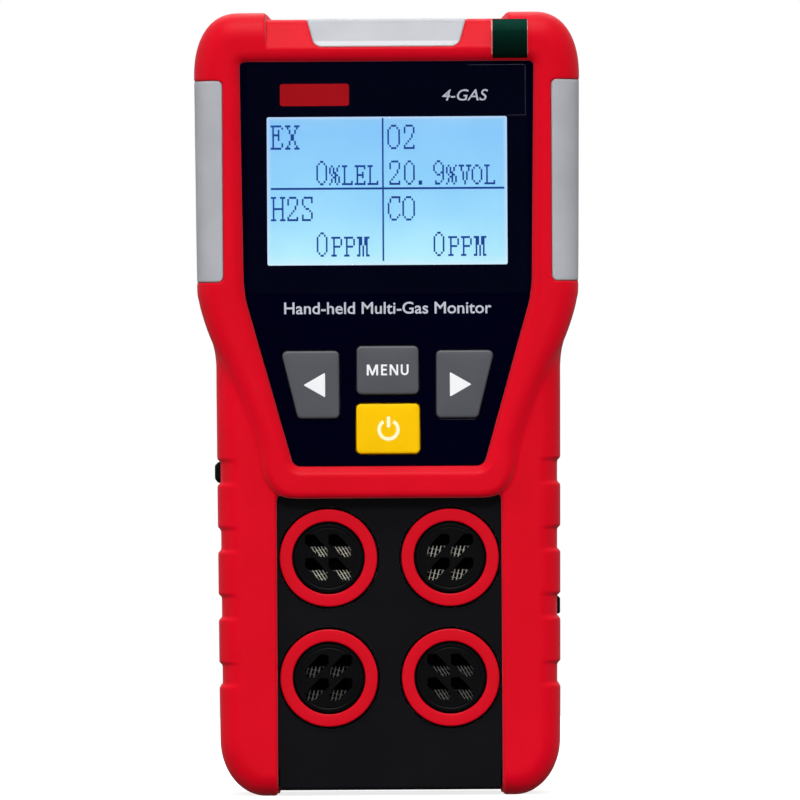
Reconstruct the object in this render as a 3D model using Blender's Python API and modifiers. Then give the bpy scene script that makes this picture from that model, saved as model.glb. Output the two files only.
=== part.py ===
"""Portable four-gas detector, built as an assembly of separate closed solids.

Frame: metres, +Z up, the instrument stands on its two bottom bumpers, its display faces -Y.
Design units in this file are millimetres. A depth d is counted from the front face of the
display bezel towards the back, so a point at depth d lies at y = Y_FRONT + d.
"""
import math

import bmesh
import bpy
from mathutils import Matrix, Vector

# ---------------------------------------------------------------- driving dimensions (mm)
MM = 0.001
HEIGHT = 152.0            # over the top and bottom bumpers
HEAD_HALF = 37.4          # half width of the display head
GRIP_HALF = 33.4          # half width of the grip
BODY_DEPTH = 36.0         # bezel front to rubber back
CLIP_DEPTH = 45.0         # bezel front to the outer face of the belt clip
TAB_PROUD = 0.65          # how far the film's pull tab stands in front of the bezel
Y_FRONT = -(CLIP_DEPTH - TAB_PROUD) / 2.0
RAIL_D = 1.8              # depth of the grip rails' front face
FACE_D = 3.3              # depth of the black front housing's face
PART_D = 18.0             # depth of the parting plane between the two halves
SKIN = 2.0                # rubber skin
GAP = 0.3                 # clearance between neighbouring pieces
WALL = 1.8                # housing wall
PANEL_HALF = 21.7         # half width of the black sensor panel
HEAD_BOTTOM = 57.8        # lower edge of the raised display bezel
TOP_MID = 150.7           # top edge between the two top bumpers
SENSOR_X, SENSOR_Z = 11.8, (46.15, 22.85)
SENSOR_R, SENSOR_H = 10.1, 16.5
RING_R_OUT, RING_R_IN = 9.55, 7.1
WINDOW = (23.6, 102.8, 131.8)     # display window: half width, lowest z, highest z
KEY_TOP_D = 0.6           # depth of the key tops at rest
KEY_TRAVEL = 0.8
PORT_Z, PORT_D = 62.85, 11.5      # charging port centre
GRILLE_Z, GRILLE_D = 36.7, 12.0   # buzzer grille centre
NOTCHES = ((60.1, 65.6), (47.1, 52.4), (34.0, 39.4), (21.0, 26.2))
NOTCH_DEPTH = 0.65
SCREWS = ((29.5, 143.0), (27.4, 88.0), (26.6, 11.0))
CLIP_Z, CLIP_D = 105.0, 40.0      # belt clip pivot

# ---------------------------------------------------------------- scene, materials
for old in list(bpy.data.objects):
    bpy.data.objects.remove(old, do_unlink=True)
bpy.context.scene.unit_settings.scale_length = 1.0
PARTS = bpy.data.collections.new("portable_gas_detector")
CUTTERS = bpy.data.collections.new("cutters")
bpy.context.scene.collection.children.link(PARTS)
bpy.context.scene.collection.children.link(CUTTERS)

FINISHES = {
    "red_rubber": ((0.72, 0.008, 0.025), 0.62, 0.0),
    "black_plastic": ((0.012, 0.012, 0.014), 0.55, 0.0),
    "black_lens": ((0.004, 0.004, 0.008), 0.12, 0.0),
    "grey_key": ((0.085, 0.09, 0.10), 0.5, 0.0),
    "yellow_key": ((0.93, 0.55, 0.01), 0.45, 0.0),
    "diffuser": ((0.55, 0.56, 0.58), 0.45, 0.0),
    "lcd": ((0.25, 0.6, 0.95), 0.3, 0.0),
    "white_plastic": ((0.8, 0.8, 0.78), 0.5, 0.0),
    "circuit_board": ((0.02, 0.16, 0.05), 0.45, 0.0),
    "steel": ((0.55, 0.55, 0.56), 0.3, 1.0),
    "brass": ((0.7, 0.5, 0.2), 0.3, 1.0),
    "black_rubber": ((0.01, 0.01, 0.01), 0.8, 0.0),
    "blue_wrap": ((0.02, 0.08, 0.4), 0.4, 0.0),
    "label": ((0.55, 0.56, 0.57), 0.4, 0.0),
    "green_tab": ((0.0, 0.035, 0.025), 0.35, 0.0),
    "clear_film": ((0.8, 0.85, 0.9), 0.05, 0.0),
}
MATERIALS = {}
for key, (colour, rough, metal) in FINISHES.items():
    m = bpy.data.materials.new(key)
    m.use_nodes = True
    bsdf = m.node_tree.nodes["Principled BSDF"]
    bsdf.inputs["Base Color"].default_value = (*colour, 1.0)
    bsdf.inputs["Roughness"].default_value = rough
    bsdf.inputs["Metallic"].default_value = metal
    m.diffuse_color = (*colour, 1.0)
    MATERIALS[key] = m


# ---------------------------------------------------------------- helpers
def depth(d):
    return Y_FRONT + d


def link(obj, finish):
    """A piece of the assembly, or a cutter when it has no finish."""
    if finish is None:
        CUTTERS.objects.link(obj)
        obj.hide_render = True
        obj.display_type = "WIRE"
    else:
        PARTS.objects.link(obj)
        obj.data.materials.clear()
        obj.data.materials.append(MATERIALS[finish])
    return obj


def dissolve_flat(mesh):
    """Caps come as triangles: one flat face each is better to bevel."""
    bm = bmesh.new()
    bm.from_mesh(mesh)
    bmesh.ops.remove_doubles(bm, verts=bm.verts, dist=1e-6)
    bmesh.ops.dissolve_limit(
        bm, angle_limit=0.001, verts=bm.verts, edges=bm.edges, delimit={"NORMAL"}
    )
    bmesh.ops.recalc_face_normals(bm, faces=bm.faces)
    bm.to_mesh(mesh)
    bm.free()


def curve_mesh(name, curve, matrix, finish):
    """The solid that a curve makes, as a mesh object with its caps welded."""
    guide = bpy.data.objects.new(name + "_curve", curve)
    bpy.context.scene.collection.objects.link(guide)
    guide.matrix_world = matrix
    bpy.context.view_layer.update()
    graph = bpy.context.evaluated_depsgraph_get()
    mesh = bpy.data.meshes.new_from_object(guide.evaluated_get(graph))
    world = guide.matrix_world.copy()
    bpy.data.objects.remove(guide, do_unlink=True)
    dissolve_flat(mesh)
    obj = bpy.data.objects.new(name, mesh)
    obj.matrix_world = world
    return link(obj, finish)


def flat_curve(name, points, thick):
    curve = bpy.data.curves.new(name, "CURVE")
    curve.dimensions = "2D"
    curve.fill_mode = "BOTH"
    curve.extrude = thick / 2 * MM
    line = curve.splines.new("POLY")
    line.points.add(len(points) - 1)
    for point, (u, v) in zip(line.points, points):
        point.co = (u * MM, v * MM, 0, 1)
    line.use_cyclic_u = True
    return curve


def prism(name, points, d0, d1, finish=None):
    """An outline in x and z, extruded from depth d0 to depth d1."""
    turn = Matrix.Rotation(math.pi / 2, 4, "X")
    place = Matrix.Translation((0, depth((d0 + d1) / 2) * MM, 0)) @ turn
    return curve_mesh(name, flat_curve(name, points, d1 - d0), place, finish)


def side_prism(name, points, x0, x1, finish=None):
    """An outline in depth and z, extruded along x."""
    turn = Matrix.Rotation(math.pi / 2, 4, "Z") @ Matrix.Rotation(math.pi / 2, 4, "X")
    place = Matrix.Translation(((x0 + x1) / 2 * MM, Y_FRONT * MM, 0)) @ turn
    return curve_mesh(name, flat_curve(name, points, x1 - x0), place, finish)


def box(name, x, d, z, finish=None):
    """A box between two corners, each given as (low, high)."""
    bpy.ops.mesh.primitive_cube_add(size=1)
    obj = bpy.context.object
    obj.name = name
    for c in list(obj.users_collection):
        c.objects.unlink(obj)
    sx, sy, sz = (x[1] - x[0]) * MM, (d[1] - d[0]) * MM, (z[1] - z[0]) * MM
    obj.data.transform(Matrix.Diagonal((sx, sy, sz, 1)))
    obj.location = (
        (x[0] + x[1]) / 2 * MM,
        depth((d[0] + d[1]) / 2) * MM,
        (z[0] + z[1]) / 2 * MM,
    )
    return link(obj, finish)


def rod(name, x, z, r, d0, d1, finish=None, sides=24):
    """A cylinder along the depth."""
    bpy.ops.mesh.primitive_cylinder_add(vertices=sides, radius=r * MM, depth=(d1 - d0) * MM)
    obj = bpy.context.object
    obj.name = name
    for c in list(obj.users_collection):
        c.objects.unlink(obj)
    obj.rotation_euler = (math.pi / 2, 0, 0)
    obj.location = (x * MM, depth((d0 + d1) / 2) * MM, z * MM)
    return link(obj, finish)


def cross_rod(name, x0, x1, d, z, r, finish=None, sides=20):
    """A cylinder along x."""
    bpy.ops.mesh.primitive_cylinder_add(vertices=sides, radius=r * MM, depth=(x1 - x0) * MM)
    obj = bpy.context.object
    obj.name = name
    for c in list(obj.users_collection):
        c.objects.unlink(obj)
    obj.rotation_euler = (0, math.pi / 2, 0)
    obj.location = ((x0 + x1) / 2 * MM, depth(d) * MM, z * MM)
    return link(obj, finish)


def turned(name, profile, x, z, finish, steps=32):
    """A closed (radius, depth) profile turned round an axis that runs along the depth."""
    mesh = bpy.data.meshes.new(name)
    rows = [(r * MM, 0.0, -d * MM) for r, d in profile]
    n = len(rows)
    mesh.from_pydata(rows, [(i, (i + 1) % n) for i in range(n)], [])
    obj = bpy.data.objects.new(name, mesh)
    obj.rotation_euler = (math.pi / 2, 0, 0)
    obj.location = (x * MM, Y_FRONT * MM, z * MM)
    screw = obj.modifiers.new("turn", "SCREW")
    screw.axis = "Z"
    screw.steps = screw.render_steps = steps
    screw.use_merge_vertices = True
    screw.merge_threshold = 0.00001
    return link(obj, finish)


def cut(obj, other, how="DIFFERENCE"):
    mod = obj.modifiers.new(how.lower(), "BOOLEAN")
    mod.operation = how
    mod.solver = "EXACT"
    mod.object = other
    return obj


def join(obj, other):
    return cut(obj, other, "UNION")


def loft(name, sections, finish=None):
    """A solid through (outline, depth) sections that all have the same number of points."""
    verts, n = [], len(sections[0][0])
    for outline, d in sections:
        verts += [(u * MM, depth(d) * MM, v * MM) for u, v in outline]
    faces = [list(range(n)), list(range((len(sections) - 1) * n, len(sections) * n))[::-1]]
    for k in range(len(sections) - 1):
        for i in range(n):
            j = (i + 1) % n
            faces.append([k * n + j, k * n + i, (k + 1) * n + i, (k + 1) * n + j])
    mesh = bpy.data.meshes.new(name)
    mesh.from_pydata(verts, [], faces)
    bm = bmesh.new()
    bm.from_mesh(mesh)
    bmesh.ops.recalc_face_normals(bm, faces=bm.faces)
    bm.to_mesh(mesh)
    bm.free()
    return link(bpy.data.objects.new(name, mesh), finish)


def bevel_rim(obj, d, width, segments, profile=0.5):
    """Rounds only the outline edges that lie at one depth, such as a shell's front rim."""
    mesh = obj.data
    weight = mesh.attributes.get("bevel_weight_edge") or mesh.attributes.new(
        "bevel_weight_edge", "FLOAT", "EDGE"
    )
    world = obj.matrix_world
    on = [abs((world @ v.co).y - depth(d) * MM) < 2e-6 for v in mesh.vertices]
    for e in mesh.edges:
        if on[e.vertices[0]] and on[e.vertices[1]]:
            weight.data[e.index].value = 1.0
    mod = obj.modifiers.new("rim", "BEVEL")
    mod.limit_method = "WEIGHT"
    mod.width = width * MM
    mod.segments = segments
    mod.profile = profile
    mod.use_clamp_overlap = False
    mod.loop_slide = False
    return obj


def bevel_all(obj, width, segments=1, angle=40):
    mod = obj.modifiers.new("edges", "BEVEL")
    mod.limit_method = "ANGLE"
    mod.angle_limit = math.radians(angle)
    mod.width = width * MM
    mod.segments = segments
    return obj


def offset(points, t):
    """The outline moved outwards by t (inwards when t is negative). Points run anticlockwise."""
    out, n = [], len(points)
    for i, p in enumerate(points):
        a, b = Vector(points[i - 1]), Vector(points[(i + 1) % n])
        q = Vector(p)
        e0, e1 = (q - a).normalized(), (b - q).normalized()
        n0, n1 = Vector((e0.y, -e0.x)), Vector((e1.y, -e1.x))
        m = n0 + n1
        m /= max(m.length_squared / 2, 0.4)
        out.append(tuple(q + m * t))
    return out


def mirrored(right):
    """A symmetric outline from its right half, given from the bottom to the top."""
    left = [(-x, z) for x, z in reversed(right) if x > 1e-6]
    return [p for p in right] + left


def corner(cx, cz, ax, az, power, n, top):
    """Points round one superelliptic corner, from the side to the top or from the bottom to the side."""
    out = []
    for i in range(n + 1):
        a = math.pi / 2 * i / n
        s, c = math.sin(a) ** (2 / power), math.cos(a) ** (2 / power)
        out.append((cx + ax * c, cz + az * s) if top else (cx + ax * s, cz - az * c))
    return out


# ---------------------------------------------------------------- outlines
TOP_CORNER = corner(28.6, 139.4, HEAD_HALF - 28.6, HEIGHT - 139.4, 2.3, 5, True)
LOW_CORNER = corner(24.2, 11.0, 33.0 - 24.2, 11.0, 2.0, 4, False)
SIDE = [(33.6, 85.6), (34.5, 88.6), (35.8, 92.3), (36.8, 96.2), (37.0, 100.0)]
# the raised bezel runs down in a taper to its lower edge
TAPER = [(17.4, 57.8), (20.6, 58.4), (22.9, 60.0), (24.3, 62.4), (25.5, 66.0), (27.1, 70.7), (29.3, 76.4)]
HEAD = mirrored(TAPER + SIDE + TOP_CORNER)


def grip_side(notched):
    """The grip's right side from the bottom corner up to the head, with finger notches or plain."""
    rows = []
    if notched:
        for low, high in reversed(NOTCHES):
            for z, inwards in ((low, 0), (low + 1.3, 1), (high - 1.3, 1), (high, 0)):
                rows.append((33.1 + 0.5 * (z - 12) / 75 - NOTCH_DEPTH * inwards, z))
    return rows


def grip(notched):
    return mirrored(LOW_CORNER + grip_side(notched) + [(33.6, 85.6), (33.6, 94.0)])


def whole(notched):
    return mirrored(LOW_CORNER + grip_side(notched) + SIDE + TOP_CORNER)


HOUSE = offset(whole(False), -(SKIN + GAP))
LENS_POCKET = mirrored(
    [(16.8, 63.9), (18.0, 64.3), (18.7, 65.3), (27.0, 94.2), (27.6, 96.6), (27.75, 99.0)]
    + [(28.2, 141.4), (27.9, 142.1), (27.2, 142.4)]
)


def rounded(points, r, n=3):
    """The outline with its corners rounded to radius r."""
    out, count = [], len(points)
    for i, p in enumerate(points):
        a, q, b = Vector(points[i - 1]), Vector(p), Vector(points[(i + 1) % count])
        u, v = (a - q).normalized(), (b - q).normalized()
        half = math.acos(max(-1, min(1, u.dot(v)))) / 2
        reach = min(r / math.tan(half), (a - q).length / 2, (b - q).length / 2)
        rr = reach * math.tan(half)
        centre = q + (u + v).normalized() * (rr / math.sin(half))
        s, e = q + u * reach - centre, q + v * reach - centre
        total = math.atan2(s.x * e.y - s.y * e.x, s.dot(e))
        for k in range(n + 1):
            t = total * k / n
            c0, s0 = math.cos(t), math.sin(t)
            out.append((centre.x + s.x * c0 - s.y * s0, centre.y + s.x * s0 + s.y * c0))
    return out


def rect(x0, x1, z0, z1, r=0.0, n=3):
    pts = [(x0, z0), (x1, z0), (x1, z1), (x0, z1)]
    return rounded(pts, r, n) if r else pts


KEYS = {
    "key_left": [(-17.5, 73.2), (-9.4, 73.2), (-9.4, 86.4), (-20.7, 86.4)],
    "key_right": [(9.4, 73.2), (17.5, 73.2), (20.7, 86.4), (9.4, 86.4)],
    "key_menu": [(-6.0, 77.8), (6.0, 77.8), (6.0, 87.2), (-6.0, 87.2)],
    "key_power": [(-6.15, 66.3), (6.15, 66.3), (6.15, 76.0), (-6.15, 76.0)],
}
KEY_CENTRE = {"key_left": (-14.3, 79.8), "key_right": (14.3, 79.8), "key_menu": (0, 82.5), "key_power": (0, 71.15)}
SIDE_WINDOW = [(31.8, 99.7), (39.5, 99.7), (39.5, 138.8), (31.8, 138.8)]
TOP_WINDOW = [(-14.1, 145.4), (14.1, 145.4), (16.2, 154.0), (-16.2, 154.0)]

# ---------------------------------------------------------------- rubber skins (front half)
def front_body(name, finish=None):
    """The outside of the front half: the raised head over the grip."""
    head = prism(name, HEAD, 0.0, PART_D - 0.15, finish)
    bevel_rim(head, 0.0, 4.6, 3)
    low = prism(name + "_grip", grip(True), RAIL_D, PART_D - 0.15)
    bevel_rim(low, RAIL_D, 4.6, 3)
    join(head, low)
    cut(head, box(name + "_top", (-22.6, 22.6), (-2, 20), (TOP_MID, 160)))
    return head


def cavity(name, d0, d1, rim):
    hole = prism(name, offset(HOUSE, GAP), d0, d1)
    bevel_rim(hole, rim, 3.2, 2)
    return hole


front_cavity = cavity("front_cavity", FACE_D - GAP, 19.0, FACE_D - GAP)
front_overmould = front_body("front_overmould", "red_rubber")
cut(front_overmould, front_cavity)
cut(front_overmould, loft("lens_pocket_rim", [(offset(LENS_POCKET, 2.4), -1.0), (LENS_POCKET, 1.4)]))
cut(front_overmould, prism("lens_pocket", LENS_POCKET, -1.0, 5.0))
cut(front_overmould, box("panel_opening", (-PANEL_HALF, PANEL_HALF), (-2, 20), (-3, HEAD_BOTTOM - 0.02)))
for side in (-1, 1):
    w = [(side * x, z) for x, z in SIDE_WINDOW]
    w = w if side > 0 else list(reversed(w))
    cut(front_overmould, prism(f"side_window_opening_{side}", offset(rounded(w, 1.0, 2), GAP), -1, 13.3))
cut(front_overmould, prism("top_window_opening", offset(rounded(TOP_WINDOW, 0.8, 2), GAP), -1, 12.3))
cut(front_overmould, box("port_opening", (-36, -28), (PORT_D - 5.5, PORT_D + 5.5), (PORT_Z - 2.4, PORT_Z + 2.4)))
cut(front_overmould, box("grille_opening", (28, 36), (GRILLE_D - 5.3, GRILLE_D + 5.3), (GRILLE_Z - 1.95, GRILLE_Z + 1.95)))

# light windows: the part of the same outside that fills each opening
for name, side in (("light_window_left", -1), ("light_window_right", 1)):
    w = [(side * x, z) for x, z in SIDE_WINDOW]
    w = w if side > 0 else list(reversed(w))
    piece = prism(name, rounded(w, 1.0, 2), -1, 13.0, "diffuser")
    cut(piece, front_body(name + "_outside"), "INTERSECT")
    cut(piece, front_cavity)
light_bar_top = prism("light_bar_top", rounded(TOP_WINDOW, 0.8, 2), -1, 12.0, "diffuser")
cut(light_bar_top, front_body("light_bar_outside"), "INTERSECT")
cut(light_bar_top, front_cavity)

# ---------------------------------------------------------------- front housing
front_housing = prism("front_housing", HOUSE, FACE_D, 17.3, "black_plastic")
bevel_rim(front_housing, FACE_D, 3.0, 2)
foot = prism("front_foot", rect(-PANEL_HALF + GAP, PANEL_HALF - GAP, 1.3, 9.0), FACE_D, 17.3)
bevel_rim(foot, FACE_D, 1.2, 2)
join(front_housing, foot)
inside = prism("front_inside", offset(HOUSE, -WALL), FACE_D + WALL, 20.0)
cut(front_housing, inside)
for i, (x, z) in enumerate(SCREWS):
    for side in (-1, 1):
        boss = rod(f"front_boss_{i}_{side}", side * x, z, 2.6, FACE_D + 1.3, 17.3, None, 12)
        join(front_housing, boss)
        cut(front_housing, rod(f"front_pilot_{i}_{side}", side * x, z, 1.55, 8.0, 20, None, 10))
cut(front_housing, box("lcd_opening", (-29.0, 29.0), (2, 6), (98.0, 137.6)))
for name, outline in KEYS.items():
    cut(front_housing, prism(name + "_hole", offset(outline, GAP), 2, 6))
for i, (sx, sz) in enumerate([(sx, sz) for sz in SENSOR_Z for sx in (-1, 1)]):
    cx = sx * SENSOR_X
    groove = turned(
        f"ring_groove_{i}",
        [(RING_R_OUT + GAP, 2.0), (RING_R_OUT + GAP, 4.0), (RING_R_IN - GAP, 4.0), (RING_R_IN - GAP, 2.0)],
        cx, sz, None,
    )
    cut(front_housing, groove)
    lean = -1 if (sx > 0) == (sz > 30) else 1      # slots point at the middle of the four
    for j, (u, v) in enumerate([(-1, -1), (1, -1), (1, 1), (-1, 1)]):
        px, pz = cx + 2.25 * u, sz + 2.25 * v
        a = math.radians(-45 * lean)
        hexagon = [(-2.8, 0), (-1.9, -1.1), (1.9, -1.1), (2.8, 0), (1.9, 1.1), (-1.9, 1.1)]
        pts = [(px + p * math.cos(a) - q * math.sin(a), pz + p * math.sin(a) + q * math.cos(a)) for p, q in hexagon]
        cut(front_housing, prism(f"slot_{i}_{j}", pts, 2.5, 6))
cut(front_housing, box("port_hole", (-34, -27), (PORT_D - 4.9, PORT_D + 4.9), (PORT_Z - 2.0, PORT_Z + 2.0)))
cut(front_housing, box("sound_hole", (27, 34), (GRILLE_D - 4, GRILLE_D + 4), (GRILLE_Z - 1.0, GRILLE_Z + 1.0)))
cut(front_housing, box("top_light_hole", (-10, 10), (6, 10.5), (144, 152)))
for side in (-1, 1):
    x = sorted((side * 31.5, side * 37.5))
    cut(front_housing, box(f"side_light_hole_{side}", x, (7.5, 11), (105, 133)))

# ---------------------------------------------------------------- display lens and keys
lens_panel = prism("lens_panel", offset(LENS_POCKET, -GAP), 1.4, 2.9, "black_lens")
for name, outline in KEYS.items():
    cut(lens_panel, prism(name + "_lens_hole", offset(rounded(outline, 0.9), GAP), 0, 5))

for name, outline in KEYS.items():
    cap = prism(name, rounded(outline, 0.9), KEY_TOP_D, 5.8, "yellow_key" if name == "key_power" else "grey_key")
    bevel_rim(cap, KEY_TOP_D, 0.4, 2)
    flange = prism(name + "_flange", offset(outline, 0.8), 5.4, 6.2)
    join(cap, flange)
    kx, kz = KEY_CENTRE[name]
    join(cap, rod(name + "_plunger", kx, kz, 1.5, 6.0, 9.0, None, 12))
    switch = box("tact_switch_" + name[4:], (kx - 2.25, kx + 2.25), (10.6, 11.2), (kz - 2.25, kz + 2.25), "steel")
    join(switch, rod("actuator_" + name[4:], kx, kz, 1.2, 10.1, 10.9, None, 12))

# ---------------------------------------------------------------- display and boards
lcd_glass = box("lcd_glass", (-28.6, 28.6), (3.3, 5.0), (98.4, 137.2), "lcd")
backlight = box("lcd_backlight", (-27.8, 27.8), (5.4, 8.4), (99.2, 136.4), "white_plastic")
bevel_all(backlight, 0.4)
board = [(-24.6, 93), (-17.5, 66.2), (17.5, 66.2), (24.6, 93), (24.6, 147), (-24.6, 147)]
main_pcb = prism("main_pcb", board, 11.5, 13.1, "circuit_board")
battery_pack = box("battery_pack", (-17.5, 17.5), (15.5, 26.5), (92, 144), "blue_wrap")
bevel_all(battery_pack, 2.0, 2)
vibration_motor = rod("vibration_motor", 0, 78, 5.0, 13.4, 16.6, "steel", 20)
bevel_all(vibration_motor, 0.4)
buzzer = rod("buzzer", 20.5, 31.0, 5.9, 26.6, 31.5, "black_plastic", 20)
cut(buzzer, rod("buzzer_hole", 20.5, 31.0, 1.2, 28.0, 33, None, 10))
for name, x, d, z in (
    ("alarm_led_top", (-1.75, 1.75), (8.6, 11.2), (143.2, 146.0)),
    ("alarm_led_left", (-24.4, -21.6), (8.8, 11.2), (117.5, 121.0)),
    ("alarm_led_right", (21.6, 24.4), (8.8, 11.2), (117.5, 121.0)),
):
    bevel_all(box(name, x, d, z, "white_plastic"), 0.3)
usb_port = box("usb_port", (-30.8, -23.6), (PORT_D - 4.5, PORT_D + 4.5), (PORT_Z - 1.65, PORT_Z + 1.65), "steel")
cut(usb_port, box("usb_mouth", (-33, -25.0), (PORT_D - 4.15, PORT_D + 4.15), (PORT_Z - 1.3, PORT_Z + 1.3)))
charge_board = box("charge_board", (-29.0, -19.8), (PORT_D - 6.0, PORT_D + 5.0), (PORT_Z - 3.1, PORT_Z - 2.0), "circuit_board")
sensor_pcb = prism("sensor_pcb", rect(-22.8, 22.8, 9.5, 57.0, 1.5, 2), 24.6, 26.2, "circuit_board")

# flat flex between the boards, as a bent strip with thickness
def strip(name, path, x0, x1, thick, finish, cols=1):
    """A sheet that follows a (depth, z) path, with thickness."""
    mesh = bpy.data.meshes.new(name)
    bm = bmesh.new()
    bmesh.ops.create_grid(bm, x_segments=cols, y_segments=len(path) - 1, size=0.5)
    for v in bm.verts:
        i = round((v.co.y + 0.5) * (len(path) - 1))
        d, z = path[i]
        v.co = ((x0 + (v.co.x + 0.5) * (x1 - x0)) * MM, depth(d) * MM, z * MM)
    bmesh.ops.recalc_face_normals(bm, faces=bm.faces)
    bm.to_mesh(mesh)
    bm.free()
    obj = link(bpy.data.objects.new(name, mesh), finish)
    mod = obj.modifiers.new("thickness", "SOLIDIFY")
    mod.thickness = thick * MM
    mod.offset = 0
    mod.use_even_offset = True
    return obj


strip("ribbon_cable", [(13.7, 71.0), (13.9, 68.0), (15.0, 65.0), (20.5, 60.6), (26.0, 59.2), (27.2, 57.5), (27.0, 53.5)], 6.0, 16.0, 0.3, "label")

# ---------------------------------------------------------------- gas sensors
SENSOR_NAMES = ("sensor_combustible", "sensor_oxygen", "sensor_hydrogen_sulphide", "sensor_carbon_monoxide")
for i, (sx, sz) in enumerate([(sx, sz) for sz in SENSOR_Z for sx in (-1, 1)]):
    cx = sx * SENSOR_X
    label = SENSOR_NAMES[i][7:]
    turned(
        "sensor_ring_" + label,
        [(RING_R_OUT, 3.7), (RING_R_IN, 3.7), (RING_R_IN, 2.85), (RING_R_IN + 0.15, 2.7), (RING_R_OUT - 0.15, 2.7), (RING_R_OUT, 2.85)],
        cx, sz, "red_rubber",
    )
    rod("dust_filter_" + label, cx, sz, 8.6, 5.4, 5.9, "steel", 24)
    top = 6.3
    cell = rod(SENSOR_NAMES[i], cx, sz, SENSOR_R, top, top + SENSOR_H, "white_plastic", 24)
    bevel_all(cell, 0.6)
    cut(cell, rod("cell_mouth_" + label, cx, sz, 4.0, top - 1, top + 0.8, None, 16))
    for k, ang in enumerate((90, 210, 330)):
        px, pz = cx + 6.4 * math.cos(math.radians(ang)), sz + 6.4 * math.sin(math.radians(ang))
        join(cell, rod(f"cell_pin_{i}_{k}", px, pz, 0.75, top + SENSOR_H - 1, 24.3, None, 8))

# ---------------------------------------------------------------- rear half
rear_cavity = cavity("rear_cavity", 17.0, 36.0 - SKIN, 36.0 - SKIN)
rear_overmould = prism("rear_overmould", whole(True), PART_D + 0.15, BODY_DEPTH, "red_rubber")
bevel_rim(rear_overmould, BODY_DEPTH, 4.6, 3)
cut(rear_overmould, rear_cavity)
cut(rear_overmould, box("rear_top", (-22.6, 22.6), (17, 40), (TOP_MID, 160)))
BACK_OPENING = rounded([(-22.4, -5.0), (22.4, -5.0), (22.4, 139.0), (-22.4, 139.0)], 5.0, 4)
cut(rear_overmould, prism("rear_opening", BACK_OPENING, 31.0, 40))
cut(rear_overmould, box("rear_foot_opening", (-PANEL_HALF, PANEL_HALF), (17, 40), (-3, 8)))
for i, (x, z) in enumerate(SCREWS):
    for side in (-1, 1):
        cut(rear_overmould, rod(f"screw_well_{i}_{side}", side * x, z, 3.0, 30, 40, None, 16))

seal = prism("housing_seal", offset(HOUSE, -0.3), 17.6, 18.4, "black_rubber")
cut(seal, prism("seal_hole", offset(HOUSE, -1.5), 17, 19))

rear_housing = prism("rear_housing", HOUSE, 18.7, BODY_DEPTH - SKIN - GAP, "black_plastic")
bevel_rim(rear_housing, BODY_DEPTH - SKIN - GAP, 3.0, 2)
plate = prism("back_plate", offset(rounded([(-22.4, 1.3 + GAP), (22.4, 1.3 + GAP), (22.4, 139.0), (-22.4, 139.0)], 5.0, 4), -GAP), 31.5, 35.4)
join(rear_housing, plate)
rear_foot = prism("rear_foot", rect(-PANEL_HALF + GAP, PANEL_HALF - GAP, 1.3, 9.0), 18.7, 33.7)
join(rear_housing, rear_foot)
cut(rear_housing, prism("rear_inside", offset(HOUSE, -WALL), 16.0, 31.9))
for i, (x, z) in enumerate(SCREWS):
    for side in (-1, 1):
        join(rear_housing, rod(f"rear_boss_{i}_{side}", side * x, z, 3.6, 18.7, 32.5, None, 16))
        cut(rear_housing, rod(f"rear_counterbore_{i}_{side}", side * x, z, 2.8, 29.0, 40, None, 16))
        cut(rear_housing, rod(f"rear_hole_{i}_{side}", side * x, z, 1.6, 16, 30, None, 10))
        screw = rod(f"case_screw_{2 * i + (side + 1) // 2 + 1}", side * x, z, 2.45, 29.3, 31.2, "steel", 16)
        join(screw, rod(f"screw_shank_{i}_{side}", side * x, z, 1.2, 9.0, 29.8, None, 8))
        cut(screw, rod(f"screw_drive_{i}_{side}", side * x, z, 1.1, 30.2, 33, None, 6))

rating_label = prism("rating_label", rect(-17, 17, 12, 42, 1.5, 3), 35.7, 36.0, "label")

# ---------------------------------------------------------------- belt clip
clip_bracket = prism("clip_bracket", rect(-12.6, 12.6, 92, 118, 2.0, 3), 35.7, 37.2, "black_plastic")
for side in (-1, 1):
    x = sorted((side * 10.6, side * 12.6))
    ear = [(36.6, 99.5), (37.2, 99.5), (40.6, 102.0), (42.3, 105.0), (40.6, 108.0), (37.2, 110.5), (36.6, 110.5)]
    join(clip_bracket, side_prism(f"clip_ear_{side}", ear, x[0], x[1]))
cut(clip_bracket, cross_rod("clip_pin_hole", -14, 14, CLIP_D, CLIP_Z, 1.35, None, 16))
for i, z in enumerate((95.3, 114.7)):
    cut(clip_bracket, rod(f"clip_screw_hole_{i}", 0, z, 1.6, 34, 39, None, 12))
    cut(rear_housing, rod(f"clip_screw_pilot_{i}", 0, z, 1.55, 30, 37, None, 10))
    screw = rod(f"clip_screw_{i + 1}", 0, z, 2.4, 37.5, 38.5, "steel", 16)
    join(screw, rod(f"clip_screw_shank_{i}", 0, z, 1.2, 32.3, 38.0, None, 8))
    cut(screw, rod(f"clip_screw_drive_{i}", 0, z, 1.0, 37.95, 40, None, 6))

ARM = [
    (42.9, 60.0), (42.0, 57.2), (39.6, 55.0), (37.0, 53.6), (36.2, 52.2), (36.2, 50.8), (37.2, 50.0),
    (41.4, 51.2), (44.0, 53.8), (44.9, 57.6), (45.0, 61.0), (44.8, 90.0), (44.4, 98.0), (44.0, 102.0),
    (43.9, 106.0), (44.2, 112.0), (44.9, 120.0), (44.7, 121.0), (43.9, 121.2), (43.2, 120.6),
    (42.6, 113.0), (41.6, 108.0), (41.6, 101.5), (42.6, 97.0), (43.1, 91.0), (43.2, 64.0),
]
clip_arm = side_prism("clip_arm", ARM, -9.9, 9.9, "black_plastic")
knuckle = cross_rod("clip_knuckle", -9.9, 9.9, CLIP_D, CLIP_Z, 2.3, None, 16)
join(clip_arm, knuckle)
cut(clip_arm, cross_rod("clip_knuckle_hole", -12, 12, CLIP_D, CLIP_Z, 1.35, None, 16))
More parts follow.
